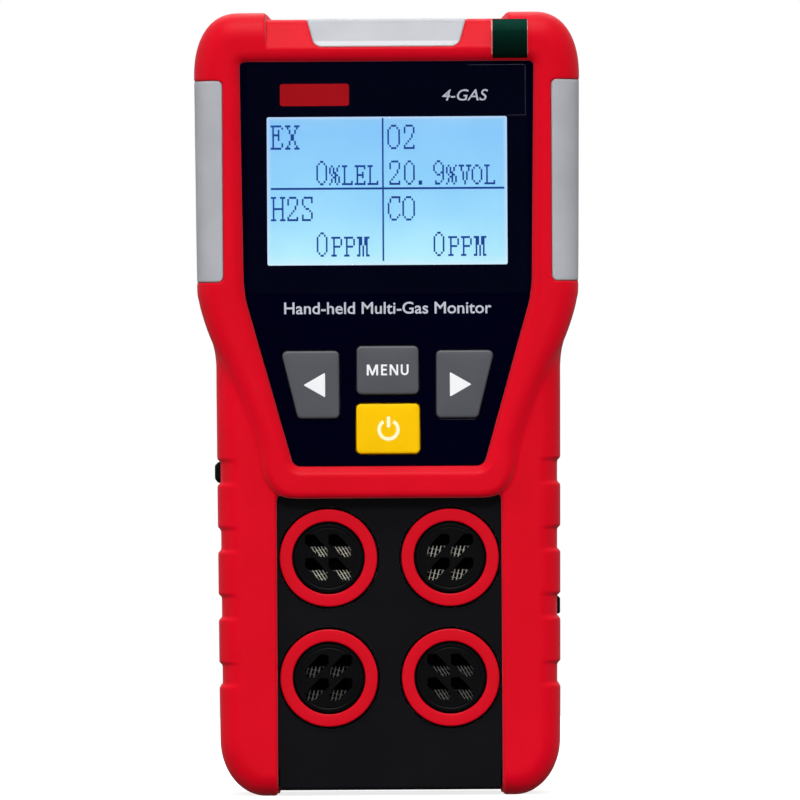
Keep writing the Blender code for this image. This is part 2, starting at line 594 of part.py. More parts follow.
cut(clip_arm, box("clip_spring_room", (-5.2, 5.2), (35.0, 42.6), (99.8, 110.2)))
clip_pin = cross_rod("clip_pin", -12.4, 12.4, CLIP_D, CLIP_Z, 1.0, "steel", 16)


def coil(name, turns, r, wire, x0, x1, leg, finish):
    """A torsion spring round the clip's pin, with both legs down on the bracket."""
    pts, per = [], 12
    total = int(turns * per)
    pts.append((x0, CLIP_D - r + 0.15, CLIP_Z - leg))
    for i in range(total + 1):
        a = math.pi - 2 * math.pi * i / per
        pts.append((x0 + (x1 - x0) * i / total, CLIP_D + r * math.cos(a), CLIP_Z + r * math.sin(a)))
    pts.append((x1, CLIP_D - r + 0.15, CLIP_Z + leg))
    curve = bpy.data.curves.new(name, "CURVE")
    curve.dimensions = "3D"
    curve.bevel_depth = wire / 2 * MM
    curve.bevel_resolution = 2
    curve.use_fill_caps = True
    line = curve.splines.new("POLY")
    line.points.add(len(pts) - 1)
    for point, (x, d, z) in zip(line.points, pts):
        point.co = (x * MM, depth(d) * MM, z * MM, 1)
    return link(bpy.data.objects.new(name, curve), finish)


coil("clip_spring", 3, 1.85, 0.7, -3.6, 3.6, 4.2, "steel")

# ---------------------------------------------------------------- side fittings
hinge = bpy.data.objects.new("port_flap_axis", None)
hinge.location = (-33.3 * MM, depth(PORT_D + 5.0) * MM, PORT_Z * MM)
PARTS.objects.link(hinge)
port_flap = box("port_flap", (-33.8, -31.5), (PORT_D - 5.1, PORT_D + 5.1), (PORT_Z - 2.1, PORT_Z + 2.1), "black_rubber")
bevel_all(port_flap, 0.5, 2)
join(port_flap, box("port_plug", (-32.5, -30.4), (PORT_D - 2.6, PORT_D + 2.6), (PORT_Z - 0.8, PORT_Z + 0.8)))
bpy.context.view_layer.update()
port_flap.parent = hinge
port_flap.matrix_parent_inverse = Matrix.Translation(-Vector(hinge.location))

buzzer_grille = box("buzzer_grille", (31.5, 33.15), (GRILLE_D - 5.0, GRILLE_D + 5.0), (GRILLE_Z - 1.65, GRILLE_Z + 1.65), "black_plastic")
bevel_all(buzzer_grille, 0.3)
for k in (-1, 0, 1):
    cut(buzzer_grille, box(f"grille_slot_{k}", (30, 35), (GRILLE_D + 3 * k - 1.0, GRILLE_D + 3 * k + 1.0), (GRILLE_Z - 0.7, GRILLE_Z + 0.7)))

# ---------------------------------------------------------------- display film and its pull tab
box("display_film", (-27.0, 27.4), (0.85, 1.1), (97.5, 141.9), "clear_film")
strip(
    "film_pull_tab",
    [(0.2, 142.9), (-0.45, 143.9), (-0.5, 145.0), (-0.5, 147.4), (-0.42, 148.3), (-0.1, 149.3), (0.6, 150.4)],
    20.5, 27.4, 0.3, "green_tab",
)

# smooth shading on the round pieces
for obj in PARTS.objects:
    if obj.type == "MESH":
        obj.data.set_sharp_from_angle(angle=math.radians(35))
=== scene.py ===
import math

import bmesh
import bpy
import numpy as np
from mathutils import Matrix, Vector


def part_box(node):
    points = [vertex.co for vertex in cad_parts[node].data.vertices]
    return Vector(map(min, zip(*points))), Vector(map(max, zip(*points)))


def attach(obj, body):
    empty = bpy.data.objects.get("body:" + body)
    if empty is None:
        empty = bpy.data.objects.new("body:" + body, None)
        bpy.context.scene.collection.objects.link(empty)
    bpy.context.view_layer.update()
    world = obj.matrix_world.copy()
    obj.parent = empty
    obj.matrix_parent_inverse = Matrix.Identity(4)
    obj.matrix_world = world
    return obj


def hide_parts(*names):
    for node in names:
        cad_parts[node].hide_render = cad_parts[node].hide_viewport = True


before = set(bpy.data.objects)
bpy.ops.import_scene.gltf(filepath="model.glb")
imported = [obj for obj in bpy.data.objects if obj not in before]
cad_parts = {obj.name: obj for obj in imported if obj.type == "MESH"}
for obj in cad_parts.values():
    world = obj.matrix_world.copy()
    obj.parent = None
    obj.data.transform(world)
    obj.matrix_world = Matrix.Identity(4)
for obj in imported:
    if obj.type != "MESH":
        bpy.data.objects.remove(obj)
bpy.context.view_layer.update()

MM = 0.001
Y0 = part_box("front_overmould")[0].y          # front plane of the display bezel
ROOT = "instrument"
SCREWS = ((29.5, 143.0), (27.4, 88.0), (26.6, 11.0))
NOTCHES = ((60.1, 65.6), (47.1, 52.4), (34.0, 39.4), (21.0, 26.2))
SENSORS = [(sx * 11.8, sz) for sz in (46.15, 22.85) for sx in (-1, 1)]
SENSOR_NAMES = ("combustible", "oxygen", "hydrogen_sulphide", "carbon_monoxide")
PANEL = 21.5


# ------------------------------------------------------------------ node helpers
def new_material(name):
    m = bpy.data.materials.new(name)
    m.use_nodes = True
    nt = m.node_tree
    return m, nt, nt.nodes["Principled BSDF"]


def node(nt, kind, **values):
    n = nt.nodes.new(kind)
    for k, v in values.items():
        if k in n.inputs:
            n.inputs[k].default_value = v
        else:
            setattr(n, k, v)
    return n


def coords(nt, scale):
    """Object coordinates in millimetres times scale."""
    tc = node(nt, "ShaderNodeTexCoord")
    mp = node(nt, "ShaderNodeMapping")
    mp.inputs["Scale"].default_value = (1000 * scale,) * 3 if not hasattr(scale, "__len__") else [1000 * s for s in scale]
    nt.links.new(tc.outputs["Object"], mp.inputs["Vector"])
    return mp.outputs["Vector"]


def ramp(nt, source, stops):
    r = node(nt, "ShaderNodeValToRGB")
    e = r.color_ramp.elements
    while len(e) < len(stops):
        e.new(0.5)
    for el, (pos, col) in zip(e, stops):
        el.position = pos
        el.color = (*col, 1) if hasattr(col, "__len__") else (col, col, col, 1)
    nt.links.new(source, r.inputs["Fac"])
    return r.outputs["Color"]


def bump(nt, b, height, strength, distance, chain=None):
    n = node(nt, "ShaderNodeBump", Strength=strength, Distance=distance)
    nt.links.new(height, n.inputs["Height"])
    if chain is not None:
        nt.links.new(chain, n.inputs["Normal"])
    nt.links.new(n.outputs["Normal"], b.inputs["Normal"])
    return n.outputs["Normal"]


def moulded(name, low, high, rough, grain=2.2, strength=0.25, rough_var=0.06, spec=0.5, dust=0.0, sheen=0.0):
    """Moulded plastic or rubber: two close tones, fine spark-eroded grain and a slightly uneven gloss."""
    m, nt, b = new_material(name)
    v = coords(nt, 1.0)
    broad = node(nt, "ShaderNodeTexNoise", Scale=0.05, Detail=4.0, Roughness=0.6)
    nt.links.new(v, broad.inputs["Vector"])
    colour = ramp(nt, broad.outputs["Fac"], [(0.3, low), (0.7, high)])
    fine = node(nt, "ShaderNodeTexNoise", Scale=grain, Detail=3.0, Roughness=0.65)
    nt.links.new(v, fine.inputs["Vector"])
    if dust:
        speck = ramp(nt, fine.outputs["Fac"], [(0.55, 0.0), (0.8, dust)])
        mix = node(nt, "ShaderNodeMixRGB", blend_type="ADD")
        nt.links.new(speck, mix.inputs["Fac"])
        mix.inputs["Color2"].default_value = (1, 1, 1, 1)
        nt.links.new(colour, mix.inputs["Color1"])
        colour = mix.outputs["Color"]
    nt.links.new(colour, b.inputs["Base Color"])
    rr = node(nt, "ShaderNodeMapRange")
    nt.links.new(fine.outputs["Fac"], rr.inputs["Value"])
    rr.inputs["To Min"].default_value = max(rough - rough_var, 0.02)
    rr.inputs["To Max"].default_value = min(rough + rough_var, 1.0)
    nt.links.new(rr.outputs["Result"], b.inputs["Roughness"])
    b.inputs["Specular IOR Level"].default_value = spec
    if sheen:
        b.inputs["Sheen Weight"].default_value = sheen
        b.inputs["Sheen Roughness"].default_value = 0.45
        b.inputs["Sheen Tint"].default_value = (1.0, 0.62, 0.66, 1.0)
    bump(nt, b, fine.outputs["Fac"], strength, 0.00006)
    return m


def metal(name, tone, rough, direction=(1, 1, 1), scale=6.0, strength=0.15, metallic=1.0):
    m, nt, b = new_material(name)
    v = coords(nt, direction)
    n = node(nt, "ShaderNodeTexNoise", Scale=scale, Detail=4.0, Roughness=0.6)
    nt.links.new(v, n.inputs["Vector"])
    nt.links.new(ramp(nt, n.outputs["Fac"], [(0.25, [c * 0.8 for c in tone]), (0.75, tone)]), b.inputs["Base Color"])
    b.inputs["Metallic"].default_value = metallic
    rr = node(nt, "ShaderNodeMapRange")
    nt.links.new(n.outputs["Fac"], rr.inputs["Value"])
    rr.inputs["To Min"].default_value = rough * 0.8
    rr.inputs["To Max"].default_value = rough * 1.3
    nt.links.new(rr.outputs["Result"], b.inputs["Roughness"])
    bump(nt, b, n.outputs["Fac"], strength, 0.00003)
    return m


# ------------------------------------------------------------------ materials
RED = moulded("red_elastomer", (0.605, 0.0001, 0.009), (0.675, 0.0002, 0.013), 0.47, grain=3.2, strength=0.5, spec=0.04, sheen=0.15)
RED_RING = moulded("red_ring", (0.58, 0.0001, 0.009), (0.62, 0.0002, 0.012), 0.42, grain=3.0, strength=0.2, spec=0.06)
BLACK = moulded("black_casing", (0.0032, 0.0032, 0.0044), (0.0048, 0.0047, 0.0060), 0.5, grain=2.6, strength=0.5, spec=0.06)
BLACK_FINE = moulded("black_fittings", (0.0022, 0.0022, 0.0028), (0.0034, 0.0034, 0.0042), 0.45, grain=4.0, strength=0.25, spec=0.05)
BLACK_CLIP = moulded("black_clip", (0.012, 0.012, 0.013), (0.018, 0.018, 0.020), 0.38, grain=2.0, strength=0.3)
BLACK_RUBBER = moulded("black_rubber", (0.0015, 0.0015, 0.0015), (0.0026, 0.0026, 0.0026), 0.55, grain=5.0, strength=0.2, spec=0.05)
GREY_KEY = moulded("grey_key_rubber", (0.064, 0.067, 0.080), (0.074, 0.077, 0.090), 0.60, grain=4.5, strength=0.35, spec=0.28, dust=0.010)
YELLOW_KEY = moulded("yellow_key_rubber", (0.87, 0.49, 0.0002), (0.91, 0.53, 0.0004), 0.5, grain=4.5, strength=0.2, spec=0.03)
ICON_WHITE = moulded("icon_white", (0.80, 0.81, 0.83), (0.88, 0.89, 0.90), 0.5, grain=6.0, strength=0.05)
ICON_CREAM = moulded("icon_cream", (0.92, 0.86, 0.50), (0.96, 0.90, 0.56), 0.5, grain=6.0, strength=0.05)
PRINT_GREY = moulded("print_grey", (0.44, 0.46, 0.53), (0.50, 0.52, 0.60), 0.45, grain=8.0, strength=0.03)
BADGE_RED = moulded("badge_red", (0.34, 0.0005, 0.003), (0.38, 0.0008, 0.005), 0.4, grain=8.0, strength=0.03, spec=0.05)
WHITE_PLASTIC = moulded("white_plastic", (0.66, 0.66, 0.63), (0.74, 0.74, 0.71), 0.45, grain=2.0, strength=0.1)
LABEL = moulded("label_silver", (0.46, 0.47, 0.48), (0.54, 0.55, 0.56), 0.38, grain=5.0, strength=0.1)
LABEL_INK = moulded("label_ink", (0.012, 0.012, 0.014), (0.018, 0.018, 0.02), 0.5, grain=5.0, strength=0.05)
BLUE_WRAP = moulded("battery_wrap", (0.012, 0.06, 0.32), (0.018, 0.08, 0.40), 0.28, grain=0.6, strength=0.5)
STEEL = metal("steel", (0.58, 0.58, 0.60), 0.3)
STEEL_DARK = metal("steel_black_zinc", (0.10, 0.10, 0.11), 0.35)
MESH_STEEL = metal("mesh_wire", (0.98, 0.97, 0.86), 0.42, scale=3.0, metallic=0.50)
# a darker copy of the wire finish: painted shade for the lower two filters
MESH_SHADED = metal("mesh_wire_painted_shade", (0.26, 0.265, 0.245), 0.5, scale=3.0, metallic=0.50)
SPRING_STEEL = metal("spring_steel", (0.50, 0.50, 0.52), 0.25)


def diffuser_material(name="frosted_diffuser", lip=None):
    """Frosted light pipe: milky plastic that lets a little light in. lip is the height (m) under which it is painted
    paler, a painted highlight along the bar's lower edge.
    """
    m, nt, b = new_material(name)
    v = coords(nt, 1.0)
    n = node(nt, "ShaderNodeTexNoise", Scale=0.12, Detail=3.0)
    nt.links.new(v, n.inputs["Vector"])
    colour = ramp(nt, n.outputs["Fac"], [(0.3, (0.385, 0.392, 0.425)), (0.7, (0.43, 0.437, 0.47))])
    # painted highlight: the colour turns paler below the given height, standing in for the light caught by the bar's
    # lower edge
    if lip is not None:
        sep = node(nt, "ShaderNodeSeparateXYZ")
        nt.links.new(node(nt, "ShaderNodeTexCoord").outputs["Object"], sep.inputs["Vector"])
        painted_highlight_band = node(nt, "ShaderNodeMapRange")
        nt.links.new(sep.outputs["Z"], painted_highlight_band.inputs["Value"])
        for k, val in (("From Min", lip + 0.0001), ("From Max", lip - 0.0002), ("To Min", 0.0), ("To Max", 0.85)):
            painted_highlight_band.inputs[k].default_value = val
        mix = node(nt, "ShaderNodeMixRGB", blend_type="MIX")
        nt.links.new(painted_highlight_band.outputs["Result"], mix.inputs["Fac"])
        nt.links.new(colour, mix.inputs["Color1"])
        mix.inputs["Color2"].default_value = (0.60, 0.60, 0.62, 1.0)
        colour = mix.outputs["Color"]
    nt.links.new(colour, b.inputs["Base Color"])
    b.inputs["Roughness"].default_value = 0.45
    b.inputs["Specular IOR Level"].default_value = 0.12
    b.inputs["Subsurface Weight"].default_value = 0.25
    b.inputs["Subsurface Radius"].default_value = (0.8, 0.8, 0.8)
    b.inputs["Subsurface Scale"].default_value = 0.002
    f = node(nt, "ShaderNodeTexNoise", Scale=2.5, Detail=2.0)
    nt.links.new(v, f.inputs["Vector"])
    bump(nt, b, f.outputs["Fac"], 0.12, 0.00005)
    return m


def gloss_black():
    """Printed acrylic: deep blue-black with a hard gloss and the faintest ripple."""
    m, nt, b = new_material("gloss_black_lens")
    v = coords(nt, 1.0)
    n = node(nt, "ShaderNodeTexNoise", Scale=0.06, Detail=2.0)
    nt.links.new(v, n.inputs["Vector"])
    nt.links.new(ramp(nt, n.outputs["Fac"], [(0.3, (0.0002, 0.0003, 0.0062)), (0.7, (0.0003, 0.0005, 0.0076))]), b.inputs["Base Color"])
    b.inputs["Roughness"].default_value = 0.08
    b.inputs["Specular IOR Level"].default_value = 0.14
    bump(nt, b, n.outputs["Fac"], 0.02, 0.0002)
    return m


def clear_plastic(name, tint, rough, alpha):
    m, nt, b = new_material(name)
    v = coords(nt, 1.0)
    n = node(nt, "ShaderNodeTexNoise", Scale=0.3, Detail=2.0)
    nt.links.new(v, n.inputs["Vector"])
    nt.links.new(ramp(nt, n.outputs["Fac"], [(0.3, [c * 0.97 for c in tint]), (0.7, tint)]), b.inputs["Base Color"])
    b.inputs["Roughness"].default_value = rough
    b.inputs["Alpha"].default_value = alpha
    b.inputs["Specular IOR Level"].default_value = 0.4
    return m


def lcd_material():
    """Backlit display: light blue, paler towards the lower edge and the rim, with a little unevenness."""
    m, nt, b = new_material("display_backlight")
    tc = node(nt, "ShaderNodeTexCoord")
    sep = node(nt, "ShaderNodeSeparateXYZ")
    nt.links.new(tc.outputs["Object"], sep.inputs["Vector"])
    mz = node(nt, "ShaderNodeMapRange")
    mz.inputs["From Min"].default_value = 0.1028
    mz.inputs["From Max"].default_value = 0.1318
    nt.links.new(sep.outputs["Z"], mz.inputs["Value"])
    base = ramp(nt, mz.outputs["Result"], [
        (0.0, (0.60, 0.90, 1.0)), (0.08, (0.44, 0.84, 0.99)), (0.35, (0.32, 0.70, 0.99)),
        (0.62, (0.275, 0.64, 0.98)), (0.90, (0.25, 0.59, 0.97)), (1.0, (0.29, 0.62, 0.96))])
    n = node(nt, "ShaderNodeTexNoise", Scale=0.09, Detail=2.0)
    nt.links.new(coords(nt, 1.0), n.inputs["Vector"])
    uneven = ramp(nt, n.outputs["Fac"], [(0.3, (0.92, 0.95, 0.98)), (0.7, (1.06, 1.03, 1.0))])
    mul = node(nt, "ShaderNodeMixRGB", blend_type="MULTIPLY", Fac=1.0)
    nt.links.new(base, mul.inputs["Color1"])
    nt.links.new(uneven, mul.inputs["Color2"])
    # pale rim: distance to the window's edge in x and z
    ax = node(nt, "ShaderNodeMath", operation="ABSOLUTE")
    nt.links.new(sep.outputs["X"], ax.inputs[0])
    rx = node(nt, "ShaderNodeMapRange")
    rx.inputs["From Min"].default_value = 0.0224
    rx.inputs["From Max"].default_value = 0.0234
    nt.links.new(ax.outputs[0], rx.inputs["Value"])
    zc = node(nt, "ShaderNodeMath", operation="SUBTRACT")
    nt.links.new(sep.outputs["Z"], zc.inputs[0])
    zc.inputs[1].default_value = 0.11725
    az = node(nt, "ShaderNodeMath", operation="ABSOLUTE")
    nt.links.new(zc.outputs[0], az.inputs[0])
    rz = node(nt, "ShaderNodeMapRange")
    rz.inputs["From Min"].default_value = 0.0138
    rz.inputs["From Max"].default_value = 0.0145
    nt.links.new(az.outputs[0], rz.inputs["Value"])
    edge = node(nt, "ShaderNodeMath", operation="MAXIMUM")
    nt.links.new(rx.outputs["Result"], edge.inputs[0])
    nt.links.new(rz.outputs["Result"], edge.inputs[1])
    half = node(nt, "ShaderNodeMath", operation="MULTIPLY")
    nt.links.new(edge.outputs[0], half.inputs[0])
    half.inputs[1].default_value = 0.55
    rim = node(nt, "ShaderNodeMixRGB", blend_type="MIX")
    nt.links.new(half.outputs[0], rim.inputs["Fac"])
    nt.links.new(mul.outputs["Color"], rim.inputs["Color1"])
    rim.inputs["Color2"].default_value = (0.75, 0.80, 1.0, 1)
    b.inputs["Base Color"].default_value = (0.02, 0.04, 0.06, 1)
    nt.links.new(rim.outputs["Color"], b.inputs["Emission Color"])
    b.inputs["Emission Strength"].default_value = 1.08
    b.inputs["Roughness"].default_value = 0.4
    b.inputs["Specular IOR Level"].default_value = 0.1
    return m


def lcd_dot_material():
    m, nt, b = new_material("display_dots")
    n = node(nt, "ShaderNodeTexNoise", Scale=0.25, Detail=1.0)
    nt.links.new(coords(nt, 1.0), n.inputs["Vector"])
    col = ramp(nt, n.outputs["Fac"], [(0.3, (0.006, 0.045, 0.24)), (0.7, (0.012, 0.075, 0.36))])
    nt.links.new(col, b.inputs["Emission Color"])
    b.inputs["Emission Strength"].default_value = 1.0
    b.inputs["Base Color"].default_value = (0.005, 0.01, 0.05, 1)
    b.inputs["Specular IOR Level"].default_value = 0.0
    return m


def tab_material():
    """Green pull tab, painted darker towards its lower end: painted shade where it dips into the shadow of the bezel,
    and a painted lighter top end.
    """
    m, nt, b = new_material("green_tab")
    tc = node(nt, "ShaderNodeTexCoord")
    sep = node(nt, "ShaderNodeSeparateXYZ")
    nt.links.new(tc.outputs["Object"], sep.inputs["Vector"])
    # painted light and shade: the green runs from light at the tab's upper end to dark lower down, where the bezel
    # shades it; the noise adds real mottle
    mz = node(nt, "ShaderNodeMapRange")
    mz.inputs["From Min"].default_value = 0.1430
    mz.inputs["From Max"].default_value = 0.1505
    nt.links.new(sep.outputs["Z"], mz.inputs["Value"])
    n = node(nt, "ShaderNodeTexNoise", Scale=0.5, Detail=3.0)
    nt.links.new(coords(nt, 1.0), n.inputs["Vector"])
    painted_shade_and_mottle = node(nt, "ShaderNodeMath", operation="MULTIPLY_ADD")
    nt.links.new(n.outputs["Fac"], painted_shade_and_mottle.inputs[0])
    painted_shade_and_mottle.inputs[1].default_value = 0.25
    nt.links.new(mz.outputs["Result"], painted_shade_and_mottle.inputs[2])
    nt.links.new(ramp(nt, painted_shade_and_mottle.outputs[0], [
        (0.05, (0.0001, 0.004, 0.002)), (0.45, (0.0001, 0.008, 0.005)), (0.80, (0.0002, 0.018, 0.011)), (1.0, (0.0006, 0.034, 0.022))]), b.inputs["Base Color"])
    b.inputs["Roughness"].default_value = 0.5
    b.inputs["Specular IOR Level"].default_value = 0.01
    bump(nt, b, n.outputs["Fac"], 0.1, 0.00005)
    return m


def board_material():
    m, nt, b = new_material("solder_mask")
    v = coords(nt, 1.0)
    brick = node(nt, "ShaderNodeTexBrick", Scale=0.35)
    brick.inputs["Color1"].default_value = (0.010, 0.105, 0.035, 1)
    brick.inputs["Color2"].default_value = (0.014, 0.135, 0.045, 1)
    brick.inputs["Mortar"].default_value = (0.03, 0.22, 0.07, 1)
    brick.inputs["Mortar Size"].default_value = 0.03
    nt.links.new(v, brick.inputs["Vector"])
    nt.links.new(brick.outputs["Color"], b.inputs["Base Color"])
    b.inputs["Roughness"].default_value = 0.35
    bump(nt, b, brick.outputs["Fac"], 0.3, 0.00003)
    return m


# near-black: the filter felt's own colour, and also used for the painted shadow strips behind the slots
FELT_AND_PAINTED_SHADOW = moulded("black_felt_and_painted_shadow", (0.0003, 0.0003, 0.0003), (0.0006, 0.0006, 0.0006), 0.9, grain=7.0, strength=0.6, spec=0.0)
DIFFUSER = diffuser_material()
# the top bar's frosted finish, with a painted highlight along its lower edge
DIFFUSER_BAR = diffuser_material("frosted_bar", 0.1464)
LENS_BLACK = gloss_black()
PANE = clear_plastic("display_pane", (0.02, 0.025, 0.03), 0.05, 0.03)
FILM = clear_plastic("clear_film", (0.02, 0.022, 0.025), 0.12, 0.03)
# pale pink on the tab's clear margin: painted highlight for the light on the film lying over the red
TAB_CLEAR_HIGHLIGHT = clear_plastic("tab_margin", (0.55, 0.35, 0.35), 0.25, 0.22)
FILM_EDGE_HIGHLIGHT = clear_plastic("film_edge_painted_highlight", (0.16, 0.17, 0.20), 0.3, 0.30)
GREEN_TAB = tab_material()
LCD = lcd_material()
LCD_DOTS = lcd_dot_material()
BOARD = board_material()


# ------------------------------------------------------------------ mesh helpers
def put(obj, material, body=ROOT, smooth=None):
    if obj.name not in bpy.context.scene.collection.all_objects:
        bpy.context.scene.collection.objects.link(obj)
    if obj.type == "MESH":
        obj.data.materials.clear()
        obj.data.materials.append(material)
        if smooth is not None:
            obj.data.polygons.foreach_set("use_smooth", [True] * len(obj.data.polygons))
            obj.data.set_sharp_from_angle(angle=math.radians(smooth))
    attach(obj, body)
    return obj


def y_of(d):
    return Y0 + d * MM


def world_points(p):
    """Millimetres (x, depth, z) to metres in the row frame."""
    q = np.array(p, float) * MM
    q[:, 1] += Y0
    return q


class Outline:
    """Signed distance to a closed outline in x and z (mm, negative inside), from a fine table."""

    def __init__(self, pts, pad=7.0, step=0.3):
        p = np.array(pts, float)
        self.step = step
        self.lo = p.min(0) - pad
        n = np.ceil((p.max(0) + pad - self.lo) / step).astype(int) + 1
        gx = self.lo[0] + step * np.arange(n[0])
        gz = self.lo[1] + step * np.arange(n[1])
        X, Z = np.meshgrid(gx, gz, indexing="ij")
        q = np.stack([X.ravel(), Z.ravel()], 1)
        a, b = p, np.roll(p, -1, 0)
        e = b - a
        ee = (e * e).sum(1)
        dist = np.empty(len(q))
        inside = np.zeros(len(q), bool)
        for i in range(0, len(q), 4000):
            w = q[i:i + 4000, None, :] - a[None]
            t = np.clip((w * e[None]).sum(2) / ee, 0, 1)
            r = w - t[..., None] * e[None]
            dist[i:i + 4000] = np.sqrt((r * r).sum(2).min(1))
            z0, z1 = a[None, :, 1], b[None, :, 1]
            pz = q[i:i + 4000, None, 1]
            cross = (z0 > pz) != (z1 > pz)
            with np.errstate(divide="ignore", invalid="ignore"):
                xc = a[None, :, 0] + (pz - z0) * e[None, :, 0] / np.where(z1 == z0, 1e-9, z1 - z0)
            inside[i:i + 4000] = ((cross & (q[i:i + 4000, None, 0] < xc)).sum(1) % 2) == 1
        self.table = np.where(inside, -dist, dist).reshape(n[0], n[1])

    def __call__(self, x, z):
        u = np.clip((x - self.lo[0]) / self.step, 0, self.table.shape[0] - 1.001)
        v = np.clip((z - self.lo[1]) / self.step, 0, self.table.shape[1] - 1.001)
        i, j = u.astype(int), v.astype(int)
        u, v = u - i, v - j
        t = self.table
        return (t[i, j] * (1 - u) * (1 - v) + t[i + 1, j] * u * (1 - v) + t[i, j + 1] * (1 - u) * v + t[i + 1, j + 1] * u * v)


def smin(a, b, k):
    h = np.clip(0.5 + 0.5 * (b - a) / k, 0, 1)
    return b + (a - b) * h - k * h * (1 - h)


def smax(a, b, k):
    return -smin(-a, -b, k)


def round_edge(s, t, r):
    """The solid inside both s and t, with their common edge rounded to radius r."""
    return np.minimum(np.maximum(s + r, t + r), 0) + np.hypot(np.maximum(s + r, 0), np.maximum(t + r, 0)) - r


def round_box(x, d, z, cx, cd, cz, hx, hd, hz, r):
    ax, ad, az = np.abs(x - cx) - hx + r, np.abs(d - cd) - hd + r, np.abs(z - cz) - hz + r
    outside = np.sqrt(np.maximum(ax, 0) ** 2 + np.maximum(ad, 0) ** 2 + np.maximum(az, 0) ** 2)
    return outside + np.minimum(np.maximum(np.maximum(ax, ad), az), 0) - r


def step01(t):
    t = np.clip(t, 0, 1)
    return t * t * (3 - 2 * t)


def surface(name, f, low, high, h, sharp=None):
    """A closed mesh of f = 0 (mm), one point in each cell that it crosses, moved on to the surface."""
    low, high = np.array(low, float), np.array(high, float)
    n = np.ceil((high - low) / h).astype(int) + 1
    axes = [low[i] + h * np.arange(n[i]) for i in range(3)]
    F = np.empty(n, np.float32)
    for i in range(n[0]):
        D, Z = np.meshgrid(axes[1], axes[2], indexing="ij")
        F[i] = f(np.full(D.shape, axes[0][i]), D, Z)
    F[F == 0] = 1e-6
    neg = F < 0
    m = n - 1
    total = np.zeros((*m, 3), np.float32)
    count = np.zeros(m, np.int16)
    corners = [(i, j, k) for i in (0, 1) for j in (0, 1) for k in (0, 1)]
    for a in corners:
        for axis in range(3):
            if a[axis]:
                continue
            b = list(a); b[axis] = 1
            fa = F[a[0]:a[0] + m[0], a[1]:a[1] + m[1], a[2]:a[2] + m[2]]
            fb = F[b[0]:b[0] + m[0], b[1]:b[1] + m[1], b[2]:b[2] + m[2]]
            cr = (fa < 0) != (fb < 0)
            t = fa[cr] / (fa[cr] - fb[cr])
            p = np.zeros((len(t), 3), np.float32)
            for c in range(3):
                p[:, c] = a[c] if c != axis else t
            total[cr] += p
            count[cr] += 1
    cells = np.argwhere(count > 0)
    index = -np.ones(m, np.int64)
    index[tuple(cells.T)] = np.arange(len(cells))
    v = low + h * (cells + total[tuple(cells.T)] / count[tuple(cells.T)][:, None])
    quads = []
    for axis in range(3):
        o = [(axis + 1) % 3, (axis + 2) % 3]
        sl0 = [slice(None)] * 3; sl1 = [slice(None)] * 3
        sl0[axis] = slice(0, -1); sl1[axis] = slice(1, None)
        ch = neg[tuple(sl0)] != neg[tuple(sl1)]
        e = np.argwhere(ch)
        ok = (e[:, o[0]] > 0) & (e[:, o[1]] > 0) & (e[:, o[0]] < n[o[0]] - 1) & (e[:, o[1]] < n[o[1]] - 1)
        e = e[ok]
        flip = neg[tuple(e.T)]
        ids = []
        for du, dv in ((0, 0), (-1, 0), (-1, -1), (0, -1)):
            c = e.copy(); c[:, o[0]] += du; c[:, o[1]] += dv
            ids.append(index[tuple(c.T)])
        q = np.stack(ids, 1)
        q[~flip] = q[~flip][:, ::-1]
        quads.append(q)
    quads = np.concatenate(quads)

    def gradient(p, s=0.02):
        g = np.empty_like(p)
        for c in range(3):
            dp = np.zeros(3); dp[c] = s
            a, b = p + dp, p - dp
            g[:, c] = (f(*a.T) - f(*b.T)) / (2 * s)
        return g

    for _ in range(4):
        g = gradient(v)
        gg = np.maximum((g * g).sum(1), 0.05)
        move = -(f(*v.T) / gg)[:, None] * g
        length = np.linalg.norm(move, axis=1)
        move *= (np.minimum(length, 0.4 * h) / np.maximum(length, 1e-9))[:, None]
        v = v + move
    g = gradient(v, 0.05)
    normals = g / np.maximum(np.linalg.norm(g, axis=1), 1e-9)[:, None]
    me = bpy.data.meshes.new(name)
    w = world_points(v)
    me.vertices.add(len(w))
    me.vertices.foreach_set("co", w.astype(np.float32).ravel())
    me.loops.add(quads.size)
    me.loops.foreach_set("vertex_index", quads.astype(np.int32).ravel())
    me.polygons.add(len(quads))
    me.polygons.foreach_set("loop_start", (np.arange(len(quads)) * 4).astype(np.int32))
    me.polygons.foreach_set("use_smooth", np.ones(len(quads), bool))
    me.update(calc_edges=True)
    me.validate()
    me.normals_split_custom_set_from_vertices(normals.tolist())
    return bpy.data.objects.new(name, me)


# ------------------------------------------------------------------ outlines of the body
def smooth_path(pts, n=6):
    """Catmull-Rom through the points, centripetal enough for these gentle outlines."""
    p = [np.array(q, float) for q in pts]
    out = []
    for i in range(len(p) - 1):
        a = p[i - 1] if i else 2 * p[0] - p[1]
        b, c = p[i], p[i + 1]
        d = p[i + 2] if i + 2 < len(p) else 2 * p[-1] - p[-2]
        for k in range(n):
            t = k / n
            out.append(0.5 * ((2 * b) + (c - a) * t + (2 * a - 5 * b + 4 * c - d) * t * t + (3 * b - a - 3 * c + d) * t ** 3))
    out.append(p[-1])
    return [tuple(q) for q in out]


def both_sides(right):
    return list(right) + [(-x, z) for x, z in reversed(right)]


def super_corner(cx, cz, ax, az, power, top, n=24):
    out = []
    for i in range(n + 1):
        a = math.pi / 2 * i / n
        s, c = math.sin(a) ** (2 / power), math.cos(a) ** (2 / power)
        out.append((cx + ax * c, cz + az * s) if top else (cx + ax * s, cz - az * c))
    return out


